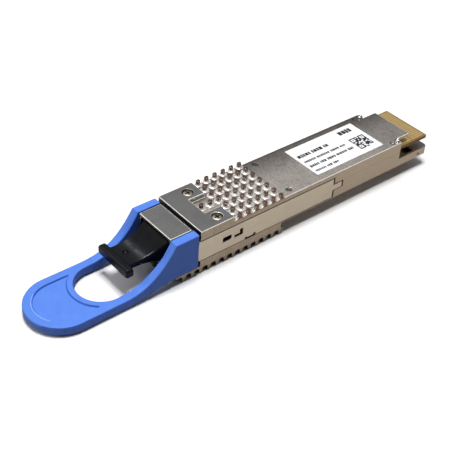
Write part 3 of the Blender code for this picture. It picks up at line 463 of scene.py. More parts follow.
def box_shape(work, x, y, z):
    """A box between two corners, added to a bmesh."""
    made = bmesh.ops.create_cube(work, size=1.0)["verts"]
    bmesh.ops.scale(work, vec=(x[1] - x[0], y[1] - y[0], z[1] - z[0]), verts=made)
    middle = [(low + high) / 2 for low, high in (x, y, z)]
    bmesh.ops.translate(work, vec=middle, verts=made)


def skin(work, rings):
    """A closed skin over rings that all have the same number of points."""
    verts = [[work.verts.new(point) for point in ring] for ring in rings]
    count = len(verts[0])
    for a, b in zip(verts, verts[1:]):
        for i in range(count):
            j = (i + 1) % count
            work.faces.new((a[i], a[j], b[j], b[i]))
    work.faces.new(verts[0])
    work.faces.new(verts[-1][::-1])
    bmesh.ops.recalc_face_normals(work, faces=work.faces)


def prism(work, outline, low, high, place):
    """A closed outline extruded from low to high; place turns (u, v, w) into a point."""
    skin(work, [[place(u, v, w) for u, v in outline] for w in (low, high)])


def side_view(u, v, w):
    """Outline in (y, z), extruded along x."""
    return (w, u, v)


def plan_view(u, v, w):
    """Outline in (x, y), extruded along z."""
    return (u, v, w)


def front_view(u, v, w):
    """Outline in (x, z), extruded along y."""
    return (u, w, v)


def quarter(steps):
    """Angles from 0 to 90 degrees, in radians."""
    return [math.radians(90 * i / steps) for i in range(steps + 1)]


def arc(centre, radius, start, end, steps):
    """Points on an arc, angles in degrees."""
    angles = [math.radians(start + (end - start) * i / steps) for i in range(steps + 1)]
    return [(centre[0] + radius * math.cos(a), centre[1] + radius * math.sin(a)) for a in angles]


def rounded_rectangle(x, y, radius, steps=5):
    """Outline of a rectangle with round corners."""
    corners = [(x[1], y[1], 0), (x[0], y[1], 90), (x[0], y[0], 180), (x[1], y[0], 270)]
    points = []
    for cx, cy, start in corners:
        inner = (cx - math.copysign(radius, cx - (x[0] + x[1]) / 2),
                 cy - math.copysign(radius, cy - (y[0] + y[1]) / 2))
        points += arc(inner, radius, start, start + 90, steps)
    return points


def circle(centre, radius, steps):
    return arc(centre, radius, 0, 360 * (steps - 1) / steps, steps - 1)


def shape(build):
    """A temporary object for a shape drawn by a function on a bmesh."""
    work = bmesh.new()
    build(work)
    mesh = bpy.data.meshes.new("shape")
    work.to_mesh(mesh)
    work.free()
    obj = bpy.data.objects.new("shape", mesh)
    bpy.context.scene.collection.objects.link(obj)
    return obj


def block(x, y, z):
    return shape(lambda work: box_shape(work, x, y, z))


def middle_block(half, y, z):
    return block((-half, half), y, z)


def pair(x, y, z):
    """The same box on both sides."""
    def build(work):
        box_shape(work, x, y, z)
        box_shape(work, (-x[1], -x[0]), y, z)
    return shape(build)


def extrusion(outline, low, high, place):
    return shape(lambda work: prism(work, outline, low, high, place))


def loft(rings):
    return shape(lambda work: skin(work, rings))


def drill(place, bore, top, steps):
    """The same upright bore on both sides, down from a top face."""
    radius, depth = bore

    def build(work):
        for side in SIDES.values():
            outline = circle((side * place[0], place[1]), radius, steps)
            prism(work, outline, top - depth, HEAD_TOP + SKIN, plan_view)
    return shape(build)


def combine(obj, operation, *others):
    """Boolean with each of the others in turn; the others are used up."""
    for other in others:
        modifier = obj.modifiers.new("combine", 'BOOLEAN')
        modifier.operation = operation
        modifier.object = other
        modifier.solver = 'EXACT'
    settle(obj)
    for other in others:
        bpy.data.objects.remove(other)


def settle(obj):
    """Makes what the modifiers show the object's own mesh."""
    bpy.context.view_layer.update()
    shown = obj.evaluated_get(bpy.context.evaluated_depsgraph_get())
    mesh = bpy.data.meshes.new_from_object(shown)
    obj.modifiers.clear()
    obj.data = mesh


def add_bevel(obj, width, segments, angle):
    """A bevel on the edges sharper than an angle in degrees."""
    bevel = obj.modifiers.new("round", 'BEVEL')
    bevel.width = width
    bevel.segments = segments
    bevel.limit_method = 'ANGLE'
    bevel.angle_limit = math.radians(angle)
    return bevel


def round_edges(obj, width, segments=2, angle=32.0, edge_slot=0):
    """Rounds the sharp edges and gives the rounds a material slot."""
    bevel = add_bevel(obj, width, segments, angle)
    bevel.use_clamp_overlap = False
    bevel.miter_outer = 'MITER_ARC'
    bevel.loop_slide = False
    while len(obj.data.materials) <= edge_slot:
        obj.data.materials.append(None)
    bevel.material = edge_slot
    settle(obj)


def clean(obj):
    """Merges doubled points and joins faces that lie in one plane."""
    work = bmesh.new()
    work.from_mesh(obj.data)
    bmesh.ops.remove_doubles(work, verts=work.verts, dist=0.0005)
    bmesh.ops.dissolve_limit(work, angle_limit=math.radians(0.5), verts=work.verts, edges=work.edges)
    work.to_mesh(obj.data)
    work.free()


def dress(obj, name, body, slot, *materials, angle=40.0, replaces=()):
    """Names a piece, takes it to the frame, gives it its materials and lets it ride on its body."""
    settle(obj)
    slots = obj.data.materials
    while len(slots) < len(materials):
        slots.append(None)
    for index, material in enumerate(materials):
        slots[index] = material
    obj.data.shade_smooth()
    obj.data.set_sharp_from_angle(angle=math.radians(angle))
    flats = obj.modifiers.new("flats", 'WEIGHTED_NORMAL')
    flats.keep_sharp = True
    flats.weight = 80
    settle(obj)
    obj.name = name
    obj.data.name = name
    obj.data.transform(TO_WORLD)
    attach(obj, body)
    if replaces:
        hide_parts(*replaces)


def revolve(work, profile, centre, segments):
    """Turns a profile of (radius, z) about an upright axis; it starts and ends on the axis."""
    angles = [2 * math.pi * i / segments for i in range(segments)]
    rings = [[work.verts.new((centre[0] + radius * math.cos(a), centre[1] + radius * math.sin(a), z))
              for a in (angles if radius else angles[:1])] for radius, z in profile]
    faces = []
    for a, b in zip(rings, rings[1:]):
        for i in range(segments):
            j = (i + 1) % segments
            corners = [a[i % len(a)], a[j % len(a)], b[j % len(b)], b[i % len(b)]]
            corners = [c for k, c in enumerate(corners) if c not in corners[:k]]
            faces.append(work.faces.new(corners))
    return faces


def turned(profile, centre, segments):
    """A solid turned about an upright axis from half its section."""
    def build(work):
        bmesh.ops.recalc_face_normals(work, faces=revolve(work, profile, centre, segments))
    return shape(build)


# ---- castings

# Material slots of the lid and of the base
CAST, LAND, EDGE, DARK = range(4)
BASE_SINK, BASE_LAND, BASE_CAST, BASE_DARK = range(4)


def pin_profile(root, tip, fillet, round_tip=0.09):
    """Half section of a pin fin: a hollow fillet at its root and a round at its tip."""
    way = 1 if tip > root else -1
    points = [(0, root - way * 0.3), (PIN_RADIUS + fillet, root - way * 0.3)]
    points += [(PIN_RADIUS + fillet * (1 - math.sin(a)), root + way * fillet * (1 - math.cos(a)))
               for a in quarter(6)]
    points += [(PIN_RADIUS - round_tip * (1 - math.cos(a)), tip - way * round_tip * (1 - math.sin(a)))
               for a in quarter(3)]
    return points + [(0, tip)]


def trim_pin(work, verts, limit):
    """Cuts what stands outside x = limit off a pin and closes the cut."""
    side = math.copysign(1, limit)
    geometry = list(verts)
    geometry += list({e for v in verts for e in v.link_edges})
    geometry += list({f for v in verts for f in v.link_faces})
    cut = bmesh.ops.bisect_plane(work, geom=geometry, plane_co=(limit, 0, 0), plane_no=(side, 0, 0),
                                 clear_outer=True, dist=1e-5)
    edges = [e for e in cut["geom_cut"] if isinstance(e, bmesh.types.BMEdge)]
    bmesh.ops.edgeloop_fill(work, edges=edges, mat_nr=0)


def pin_object(places, root, tip, fillet, fillet_slot=0):
    """All the pins of one side of the head. The fillets may have a material slot of their own, where
    the top pins get a painted highlight.
    """
    profile = pin_profile(root, tip, fillet)

    def build(work):
        for x, y in places:
            known = set(work.verts)
            faces = revolve(work, profile, (x, y), PIN_SEGMENTS)
            for index, face in enumerate(faces):
                face.material_index = fillet_slot if 2 <= index // PIN_SEGMENTS <= 6 else 0
            if abs(x) + PIN_RADIUS + fillet > BODY_HALF:
                trim_pin(work, [v for v in work.verts if v not in known],
                         math.copysign(BODY_HALF - 0.01, x))
        bmesh.ops.recalc_face_normals(work, faces=work.faces)
    return shape(build)


def make_pins(mat):
    columns = [(i - (PIN_COLUMNS - 1) / 2) * PIN_PITCH_X for i in range(PIN_COLUMNS)]
    top = [(x, TOP_PIN_FIRST + i * TOP_PIN_PITCH) for x in columns for i in range(TOP_PIN_ROWS)]
    top += [(0, TOP_PIN_FIRST - (i + 1) * TOP_PIN_PITCH) for i in range(2)]
    # Top pins in the painted-shade brown, their fillets in the painted highlight
    dress(pin_object(top, BODY_TOP, HEAD_TOP, TOP_FILLET, 1), "top_pin_fins", BODY, "nickel_casting",
          mat["pin"], mat["root"])
    sink = [(x, SINK_PIN_LAST - i * SINK_PIN_PITCH) for x in columns for i in range(SINK_PIN_ROWS)
            if abs(x) < NOSE_HALF or SINK_PIN_LAST - i * SINK_PIN_PITCH > NOSE_FRONT]
    dress(pin_object(sink, SINK_ROOT, SINK_TIP, SINK_FILLET), "bottom_pin_fins", BODY, "nickel_casting",
          mat["sink"])


def face_materials(obj, rule):
    """Gives each face the material index that a rule finds from its own index, centre and normal."""
    for face in obj.data.polygons:
        face.material_index = rule(face.material_index, face.center, face.normal)


def round_and_cut(shell, width, spare, edge_slot=0):
    """Rounds a half shell that reaches past the seam, then takes the spare height away."""
    clean(shell)
    round_edges(shell, width, edge_slot=edge_slot)
    whole = (-TAB_HALF - SKIN, TAB_HALF + SKIN), (NOSE_FRONT - SKIN, LIP_REAR + SKIN)
    combine(shell, 'DIFFERENCE', block(*whole, spare))


def in_pocket(centre):
    """True on the walls behind the latch strips, which never see light."""
    return (1.0 < centre.y < LATCH_REAR and 6.8 < abs(centre.x) < POCKET_X + 0.02
            and 0.4 < centre.z < 6.9)


def make_lid(mat):
    bottom = SEAM_Z - SEAM_SPARE
    outline = [(NOSE_FRONT, bottom), (WALL_REAR, bottom), (WALL_REAR, ROOF_UNDER),
               (TONGUE_REAR, ROOF_UNDER), (TONGUE_REAR, BODY_TOP), (LAND_REAR, BODY_TOP),
               (LAND_REAR, HEAD_TOP), (0, HEAD_TOP), (0, GROOVE_FLOOR), (GROOVE_FRONT, GROOVE_FLOOR),
               (GROOVE_FRONT, NOSE_TOP), (NOSE_FRONT, NOSE_TOP)]
    lid = extrusion(outline, -BODY_HALF, BODY_HALF, side_view)
    above = HEAD_TOP + SKIN
    below = bottom - SKIN
    far = BODY_HALF + SKIN
    port = rounded_rectangle((-PORT_HALF, PORT_HALF), (below - 2, PORT_ROOF), 0.9)
    combine(
        lid, 'DIFFERENCE',
        middle_block(NOTCH_HALF, (NOTCH_FRONT, LAND_REAR + SKIN), (BODY_TOP, above)),
        pair((NOSE_HALF, far), (NOSE_FRONT - SKIN, 0), (below, above)),
        pair((TONGUE_HALF, far), (WALL_REAR, TONGUE_REAR + SKIN), (below, above)),
        extrusion(port, NOSE_FRONT - SKIN, PORT_REAR, front_view),
        middle_block(BAY_HALF, (PORT_REAR - SKIN, BAY_REAR), (below, BAY_ROOF)),
        middle_block(SHELF_HALF, (BAY_REAR - SKIN, CAVITY_REAR), (below, ROOF_UNDER)),
        middle_block(CAVITY_HALF, (CAVITY_REAR - SKIN, WALL_REAR + SKIN), (below, ROOF_UNDER - 0.1)),
        pair((POCKET_X, far), (-SKIN, STRIP_REAR + STRIP_SLACK), (below, STRIP_TOP + STRIP_GAP)),
        drill(FRONT_SCREW, FRONT_BORE, HEAD_TOP, 32),
        drill(MID_SCREW, MID_BORE, BODY_TOP, 24),
        drill(REAR_HOLE, REAR_BORE, BODY_TOP, 24),
    )
    round_and_cut(lid, LID_ROUND, (below, SEAM_Z + SEAM_GAP / 2), EDGE)
    face_materials(lid, lid_finish)
    dress(lid, "lid_shell", BODY, "nickel_casting", mat["casting"], mat["land"], mat["edge"],
          mat["pocket"], replaces=("upper_housing",))


def near_screw(centre):
    """True at the rims of the holes for the screws and beside the rear bosses."""
    holes = ((REAR_HOLE, 1.3), (MID_SCREW, 1.4), (FRONT_SCREW, 2.0))
    return any(math.hypot(abs(centre.x) - x, centre.y - y) < reach for (x, y), reach in holes)


def lid_finish(index, centre, normal):
    """Painted highlight on the top edges, a ground land and nose, recesses in painted shadow black, and
    cast skin elsewhere.
    """
    # Painted shadow on the walls behind the strips
    if in_pocket(centre):
        return DARK
    if index == EDGE and centre.z > BODY_TOP - 0.5:
        return CAST if near_screw(centre) else EDGE
    return LAND if centre.z > BODY_TOP + 0.3 and normal.z > 0.5 else CAST


def base_finish(index, centre, normal):
    """Ground lip, the recess behind it with less painted shade, unlit pockets behind the strips in
    painted shadow, and the sink copy with more painted shade elsewhere.
    """
    # Painted shadow on the walls behind the strips
    if in_pocket(centre):
        return BASE_DARK
    if centre.y < WALL_REAR or centre.z > LIP_TOP + 0.1 or abs(normal.x) > 0.5:
        return BASE_SINK
    return BASE_LAND if centre.z > LIP_TOP - 0.05 else BASE_CAST


def lip_corner(side):
    """Outline of what is cut off a rear corner of the lip."""
    x, y = BODY_HALF - LIP_CORNER, LIP_REAR - LIP_CORNER
    far, behind = BODY_HALF + SKIN, LIP_REAR + SKIN
    outline = [(far, y), *arc((x, y), LIP_CORNER, 0, 90, 8), (x, behind), (far, behind)]
    return [(side * across, along) for across, along in outline]


def make_base(mat):
    top = SEAM_Z + SEAM_SPARE
    outline = [(NOSE_FRONT, SINK_ROOT), (HEAD_REAR, SINK_ROOT), (HEAD_REAR, 0), (LIP_REAR, 0),
               (LIP_REAR, LIP_TOP), (WALL_REAR, LIP_TOP), (WALL_REAR, top), (NOSE_FRONT, top)]
    base = extrusion(outline, -BODY_HALF, BODY_HALF, side_view)
    above = top + SKIN
    far = BODY_HALF + SKIN
    port = rounded_rectangle((-PORT_HALF, PORT_HALF), (0.0, above + 2), 0.6)
    combine(
        base, 'DIFFERENCE',
        pair((NOSE_HALF, far), (NOSE_FRONT - SKIN, 0), (SINK_LEDGE, above)),
        extrusion(port, NOSE_FRONT - SKIN, PORT_REAR, front_view),
        middle_block(BAY_HALF, (PORT_REAR - SKIN, BAY_REAR), (FLOOR_TOP, above)),
        middle_block(CAVITY_HALF, (BAY_REAR - SKIN, CAVITY_REAR), (FLOOR_TOP, above)),
        middle_block(SHELF_HALF, (BOARD_FRONT, CAVITY_REAR), (SHELF_Z, above)),
        middle_block(CAVITY_HALF, (CAVITY_REAR - SKIN, WALL_REAR + SKIN), (SHELF_Z, above)),
        pair((POCKET_X, far), (-SKIN, STRIP_REAR + STRIP_SLACK), (STRIP_BOTTOM - STRIP_GAP, above)),
        pair((POCKET_X, far), (STRIP_REAR, LATCH_REAR + STRIP_SLACK),
             (LATCH_BOTTOM - STRIP_GAP, LATCH_TOP + STRIP_GAP)),
        pair((7.0, POCKET_X + SKIN), *SPRING_POCKET),
        middle_block(BODY_HALF - 0.8, (WALL_REAR - SKIN, LIP_RECESS_REAR), (FLOOR_TOP, LIP_TOP + 0.1)),
        pair((BODY_HALF - 0.35, far), *SIDE_NICK),
        extrusion(lip_corner(1), -1.0, far, plan_view),
        extrusion(lip_corner(-1), -1.0, far, plan_view),
    )
    round_and_cut(base, BASE_ROUND, (SEAM_Z - SEAM_GAP / 2, above))
    face_materials(base, base_finish)
    dress(base, "base_shell", BODY, "nickel_casting", mat["sink"], mat["land"], mat["casting"],
          mat["pocket"], replaces=("lower_housing",))


# ---- latch strips

def make_strip(word, side, mat):
    """The stamped side strip, with its windows, the slot at its lower edge and the flap inside."""
    low, high = sorted((side * BODY_HALF, side * (BODY_HALF - STRIP_THICK)))
    through = (low - SKIN, high + SKIN)
    outline = [(TANG_FRONT, TANG_LOW), (TANG_REAR, TANG_LOW), (TANG_REAR, STRIP_BOTTOM),
               (STRIP_REAR, STRIP_BOTTOM), (STRIP_REAR, LATCH_BOTTOM), (LATCH_REAR, LATCH_BOTTOM),
               (LATCH_REAR, LATCH_TOP), (STRIP_REAR, LATCH_TOP), (STRIP_REAR, STRIP_TOP),
               (TANG_REAR, STRIP_TOP), (TANG_REAR, TANG_HIGH), (TANG_FRONT, TANG_HIGH)]
    strip = extrusion(outline, low, high, side_view)
    windows = [extrusion(rounded_rectangle(*window, 0.2, 3), *through, side_view)
               for window in STRIP_WINDOWS]
    ends = [extrusion(circle(centre, radius, 16), *through, side_view)
            for centre, radius in STRIP_SLOT_ENDS]
    combine(strip, 'DIFFERENCE', *windows, block(through, *STRIP_SLOT), *ends)
    inner = [block(sorted((side * x[0], side * x[1])), y, z) for x, y, z in (FLAP, SPRING_LEG)]
    combine(strip, 'UNION', *inner)
    clean(strip)
    round_edges(strip, 0.06)
    dress(strip, "latch_strip_" + word, TAB, "stamped_steel", mat["strip"],
          replaces=("latch_arm_" + word,))


def spring_rings(side):
    """Sections of a coil spring's wire, with one closed turn at each end."""
    steps = 20 * SPRING_TURNS
    closed = 1 / SPRING_TURNS
    pitch = 2.3 * SPRING_WIRE
    low, high = SPRING_Y[0] + SPRING_WIRE, SPRING_Y[1] - SPRING_WIRE
    wire = circle((0, 0), SPRING_WIRE, 8)
    rings = []
    for i in range(steps + 1):
        share = i / steps
        middle = min(max((share - closed) / (1 - 2 * closed), 0.0), 1.0)
        ends = min(share, closed) + max(share - 1 + closed, 0.0)
        y = low + pitch * SPRING_TURNS * ends + (high - low - 2 * pitch) * middle
        angle = side * 2 * math.pi * SPRING_TURNS * share
        outward = Vector((math.cos(angle), 0, math.sin(angle)))
        centre = Vector((side * SPRING_X, y, SPRING_Z)) + outward * SPRING_RADIUS
        rings.append([centre + outward * u + Vector((0, v, 0)) for u, v in wire])
    return rings


def make_spring(word, side, mat):
    """A return spring, riding on the body at its rest length; the real one shortens towards its fixed
    front end as the tab is pulled.
    """
    spring = loft(spring_rings(side))
    dress(spring, "return_coil_" + word, BODY, "bright_steel", mat["bright"],
          replaces=("return_spring_" + word,))
    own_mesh(spring)


# ---- pull tab

def tab_top(y):
    """The arms fall in a hollow curve from the bend down to the flat of the handle."""
    if y >= TAB_BEND:
        return TAB_TOP
    if y <= TAB_FLAT:
        return TAB_HANDLE_TOP
    share = (y - TAB_FLAT) / (TAB_BEND - TAB_FLAT)
    return TAB_HANDLE_TOP + (TAB_TOP - TAB_HANDLE_TOP) * share ** TAB_POWER


def tab_bottom(y):
    """The arms' underside slopes down to the flat of the handle."""
    share = min(max((y + 21.0) / 12.4, 0.0), 1.0)
    return TAB_HANDLE_BOTTOM + (TAB_ARM_BOTTOM - TAB_HANDLE_BOTTOM) * share


def on_path(half, centre, start, distance):
    """A point so far along a straight side from (half, start) and then the round end about centre."""
    straight = start - centre
    if distance <= straight:
        return Vector((half, start - distance))
    angle = (distance - straight) / half
    return Vector((half * math.cos(angle), centre - half * math.sin(angle)))


def tab_stations():
    """Inner edge, pad start, pad end, outer edge and pad depth of each section of the right half."""
    pad_inner = TAB_INNER + 1.75
    pad_outer = TAB_HALF - PAD_RIM
    drop = math.sqrt(pad_inner ** 2 - pad_outer ** 2)
    corner = Vector((pad_outer, TAB_HOLE - drop))
    corner_angle = math.atan2(drop, pad_outer)
    stations = []
    ys = [TAB_REAR, TAB_REAR - 0.12, TAB_REAR - 0.35, -2.5, -4.5, -6.5, -7.7, -8.0, -8.2, -8.5]
    ys += [-9.0 - 0.75 * i for i in range(20)]
    for y in ys:
        inner, outer = Vector((TAB_INNER, y)), Vector((TAB_HALF, y))
        stations.append((inner, inner.lerp(outer, 0.4), inner.lerp(outer, 0.6), outer, 0.0))
    before = 10
    for i in range(before + 1):
        share = i / before
        angle = corner_angle * share
        inner = Vector((TAB_INNER * math.cos(angle), TAB_HOLE - TAB_INNER * math.sin(angle)))
        outer = Vector((TAB_HALF, TAB_HOLE - drop * share))
        near = inner.lerp(outer, 0.4).lerp(corner, share)
        far = inner.lerp(outer, 0.6).lerp(corner, share * 0.98)
        stations.append((inner, near, far, outer, 0.0))
    after = 26
    pad_length = (corner.y - TAB_TIP) + pad_outer * math.pi / 2
    rim_length = (corner.y - TAB_TIP) + TAB_HALF * math.pi / 2
    for i in range(1, after + 1):
        share = i / after
        angle = corner_angle + (math.pi / 2 - corner_angle) * share
        ray = Vector((math.cos(angle), -math.sin(angle)))
        hole = Vector((0, TAB_HOLE))
        stations.append((hole + ray * TAB_INNER, hole + ray * pad_inner,
                         on_path(pad_outer, TAB_TIP, corner.y, pad_length * share),
                         on_path(TAB_HALF, TAB_TIP, corner.y, rim_length * share), PAD_DEPTH))
    return stations


def inner_round(y):
    """The inner top edge is rounder just past the bend."""
    if y > TAB_BEND:
        return 0.22
    return 0.35 + 0.75 * max(0.0, 1 - abs(y + 10.2) / 4.5)


def tab_section(inner, pad_start, pad_end, outer, depth):
    """The closed section between the inner and the outer edge, as points in the datum."""
    outward = (outer - inner).normalized()

    def corner(edge, way, radius, level, sign):
        """A quarter round. Sign is +1 on the top and -1 underneath."""
        spots = [(edge + outward * way * radius * (1 - math.cos(a)), sign * radius * (1 - math.sin(a)))
                 for a in quarter(5)]
        return [(spot.x, spot.y, level(spot.y) - drop) for spot, drop in spots]

    step = min(PAD_STEP, (pad_end - pad_start).length / 4)
    spots = [(pad_start - outward * step, 0.0), (pad_start + outward * step, depth)]
    spots += [(pad_start.lerp(pad_end, share), depth) for share in (0.3, 0.5, 0.7)]
    spots += [(pad_end + outward * reach, sink)
              for reach, sink in ((-step, depth), (step, 0.0), (step + HIGHLIGHT_LINE_WIDTH, 0.0))]
    points = corner(inner, 1, inner_round(inner.y), tab_top, 1)
    points += [(spot.x, spot.y, tab_top(spot.y) - sink) for spot, sink in spots]
    points += corner(outer, -1, 0.42, tab_top, 1)[::-1]
    points += corner(outer, -1, 0.45, tab_bottom, -1)
    points += corner(inner, 1, 0.35, tab_bottom, -1)[::-1]
    return points


def tab_finish(index, centre, normal):
    """Blue, with a painted shade on the step round the thumb recess and a painted highlight line in its
    place at the far end.
    """
    if centre.y > TAB_TIP - 4.4 or centre.x > 4.6:
        on_step = abs(centre.z - TAB_HANDLE_TOP + PAD_DEPTH / 2) < PAD_DEPTH / 4
        # Step walls take the darker blue of the painted shade
        return 2 if on_step and 0.2 < normal.z < 0.9 else 0
    line = TAB_HALF - PAD_RIM + PAD_STEP + HIGHLIGHT_LINE_WIDTH / 2
    on_line = abs(math.hypot(centre.x, centre.y - TAB_TIP) - line) < HIGHLIGHT_LINE_WIDTH / 3
    # The line takes the pale blue of the painted highlight
    return int(on_line and centre.z > TAB_HANDLE_TOP - 0.02)


def make_pull_tab(mat):
    right = [tab_section(*station) for station in tab_stations()]
    left = [[(-x, y, z) for x, y, z in ring] for ring in reversed(right[:-1])]
    rings = right + left
    for index, inset in ((0, 0.25), (1, 0.07)):
        for target in (index, len(rings) - 1 - index):
            rings[target] = shrink(rings[target], inset)
    tab = loft(rings)
    face_materials(tab, tab_finish)
    dress(tab, "pull_tab_moulding", TAB, "blue_polymer", mat["blue"], mat["rim_highlight"], mat["recess"],
          angle=38, replaces=("pull_tab",))


def shrink(ring, amount):
    """A section pulled in from its middle by an amount on every side."""
    xs, _, zs = zip(*ring)
    middle = ((min(xs) + max(xs)) / 2, (min(zs) + max(zs)) / 2)
    half = ((max(xs) - min(xs)) / 2, (max(zs) - min(zs)) / 2)
    return [(middle[0] + (x - middle[0]) * (1 - amount / half[0]), y,
             middle[1] + (z - middle[1]) * (1 - amount / half[1])) for x, y, z in ring]


# ---- dust plug

def plug_ring(y, half, low, high, radius):
    """One section of the plug: a rectangle with round corners."""
    return [(x, y, z) for x, z in rounded_rectangle((-half, half), (low, high), radius, 6)]


def plug_stations():
    """Sections (y, half width, bottom, top, corner radius) from the grip to the hollow core."""
    rows = [(y, GRIP_HALF - inset, GRIP_LOW + inset, GRIP_TOP - inset, 0.85 - inset * 0.5)
            for inset, y in GRIP_ROUNDS]
    rows.append((-18.66, 4.75, PLUG_Z - 0.95, PLUG_Z + 0.75, 0.3))
    rows.append((-18.5, 4.45, PLUG_Z - 0.9, PLUG_Z + 0.7, 0.3))
    steps = 20
    for i in range(steps + 1):
        share = i / steps
        y = NECK_Y[0] + (NECK_Y[1] - NECK_Y[0]) * share
        rows.append((y, 4.3 + 1.35 * share ** 2.2, PLUG_Z - 0.9 - 2.3 * share ** 2.4,
                     PLUG_Z + 0.68 + 3.0 * share ** 2.6, 0.32 + 0.5 * share))
    rows.append((-7.2, 5.68, PLUG_Z - 3.25, PLUG_Z + 3.72, 0.85))
    return rows


def plug_core(half, radius, start, end):
    """A straight length about the plug's axis, from its half width and half height."""
    wide, tall = half
    outline = rounded_rectangle((-wide, wide), (PLUG_Z - tall, PLUG_Z + tall), radius)
    return extrusion(outline, start, end, front_view)


def make_dust_plug(mat):
    plug = loft([plug_ring(*row) for row in plug_stations()])
    combine(plug, 'UNION', plug_core(CORE_HALF, 0.5, *CORE_Y))
    dimple = turned([(radius, NECK_TOP + z) for radius, z in DIMPLE_PROFILE], DIMPLE, 32)
    combine(plug, 'DIFFERENCE', plug_core(CORE_HOLLOW, 0.4, -6.0, -1.5), dimple)
    dress(plug, "port_dust_plug", PLUG, "black_rubber", mat["black_rubber"], angle=42,
          replaces=("dust_plug",))


# ---- fasteners

def make_cross_screw(name, node, place, size, mat, finish="screw"):
    """A pan-head screw with a crossed recess."""
    radius, low, top = size
    dome = 0.18 * radius
    profile = [(0, low - 1.0), (radius * 0.4, low - 1.0), (radius * 0.4, low), (radius * 0.94, low),
               (radius, low + 0.07), (radius, top - dome - 0.08), (radius * 0.96, top - dome)]
    profile += [(radius * 0.96 * math.cos(a), top - dome + dome * math.sin(a))
                for a in quarter(6)[1:-1]]
    profile.append((0, top))
    head = turned(profile, place, 40)
    arm = radius * 0.6
    web = radius * 0.16
    x, y = place
    depth = top - 0.34 * radius - 0.12
    combine(head, 'DIFFERENCE',
            block((x - arm, x + arm), (y - web, y + web), (depth, top + SKIN)),
            block((x - web, x + web), (y - arm, y + arm), (depth, top + SKIN)))
    round_edges(head, 0.03, 2, 40.0)
    floor = top - dome - 0.04
    # The floor of the cross recess takes the painted shadow black
    face_materials(head, lambda index, centre, normal: int(
        centre.z < floor and math.hypot(centre.x - x, centre.y - y) < radius * 0.7))
    dress(head, name, BODY, "bright_steel", mat[finish], mat["pocket"], replaces=(node,))


def make_rivet(name, node, place, mat):
    """A round-headed boss in the lid's rear corner, standing proud of its top and of its rear wall."""
    low = ROOF_UNDER - 0.6
    top = BODY_TOP + 0.5
    profile = [(0, low), (0.7, low), (0.82, low + 0.1), (0.86, low + 0.3), (0.86, top - 0.42),
               (0.8, top - 0.2), (0.62, top - 0.06), (0.4, top), (0.3, top - 0.04), (0.22, top - 0.14),
               (0, top - 0.16)]
    dress(turned(profile, place, 32), name, BODY, "bright_steel", mat["bright"], replaces=(node,))


def make_fasteners(mat):
    for word, side in SIDES.items():
        front, mid, rear = [(side * x, y) for x, y in (FRONT_SCREW, MID_SCREW, REAR_BOSS)]
        make_cross_screw("front_cross_screw_" + word, "front_screw_" + word, front, FRONT_HEAD, mat)
        make_cross_screw("mid_cross_screw_" + word, "mid_screw_" + word, mid, MID_HEAD, mat,
                         "dark_steel")
        make_rivet("rear_domed_rivet_" + word, "rear_rivet_" + word, rear, mat)


# ---- card and label

def make_contacts(word, low, mat):
    """Two rows of separate contact pads on one face of the card."""
    def build(work):
        for i in range(CONTACT_COUNT):
            x = (i - (CONTACT_COUNT - 1) / 2) * CONTACT_PITCH
            for y in CONTACT_ROWS:
                outline = rounded_rectangle((x - CONTACT_HALF, x + CONTACT_HALF), y, 0.1, 2)
                prism(work, outline, low, low + CONTACT_THICK, plan_view)
    dress(shape(build), "contact_pads_" + word, BODY, "gold", mat["gold"],
          replaces=("contact_strips_" + word,))


def make_label(mat):
    """A film with rows of plain marks and a square of random cells in place of print."""
    z = BODY_TOP + 0.05
    film = extrusion(rounded_rectangle(LABEL_X, LABEL_Y, 0.3, 4), z - 0.05, z, plan_view)
    round_edges(film, 0.012, 1)
    dress(film, "label_film", BODY, "label_film", mat["paper"], replaces=("label",))
    dice = random.Random(7)

    def mark(work, along, across):
        """One printed mark; along runs towards the card, across from the left edge to the right."""
        box_shape(work, across, along, (z - 0.01, z + 0.02))

    def row(work, across, start, end, height, gap):
        """Short upright marks in groups, from start to end along the label."""
        y = start
        while y < end:
            group = dice.randint(3, 7)
            for _ in range(group):
                wide = dice.uniform(0.35, 0.75) * height
                if y + wide > end:
                    return
                tall = height * dice.uniform(0.72, 1.0)
                mark(work, (y, y + wide), (across - tall / 2, across + tall / 2))
                y += wide + gap
            y += 2.6 * gap

    def code_block(work):
        """A square of random cells with three framed corners."""
        cells = 13
        size = 5.6 / cells
        frames = ((0, 0), (0, cells - 5), (cells - 5, 0))
        for i in range(cells):
            for j in range(cells):
                inked = dice.random() < 0.6
                for a, b in frames:
                    if 0 <= i - a < 5 and 0 <= j - b < 5:
                        inked = max(abs(i - a - 2), abs(j - b - 2)) != 1
                if inked:
                    y = LABEL_Y[1] - 7.0 + i * size
                    x = -0.8 + j * size
                    mark(work, (y, y + size), (x, x + size))

    def build(work):
        first = LABEL_Y[0] + 1.0
        for across, length, height, gap in ((-2.5, 12.2, 1.5, 0.2), (0.3, 16.6, 0.95, 0.16),
                                            (2.7, 17.2, 1.05, 0.16), (5.1, 9.2, 0.95, 0.16)):
            row(work, across, first, first + length, height, gap)
        row(work, -4.6, LABEL_Y[1] - 7.2, LABEL_Y[1] - 1.8, 1.9, 0.2)
        code_block(work)

    dress(shape(build), "label_print", BODY, "label_film", mat["ink"])


# ---- carried-over CAD nodes

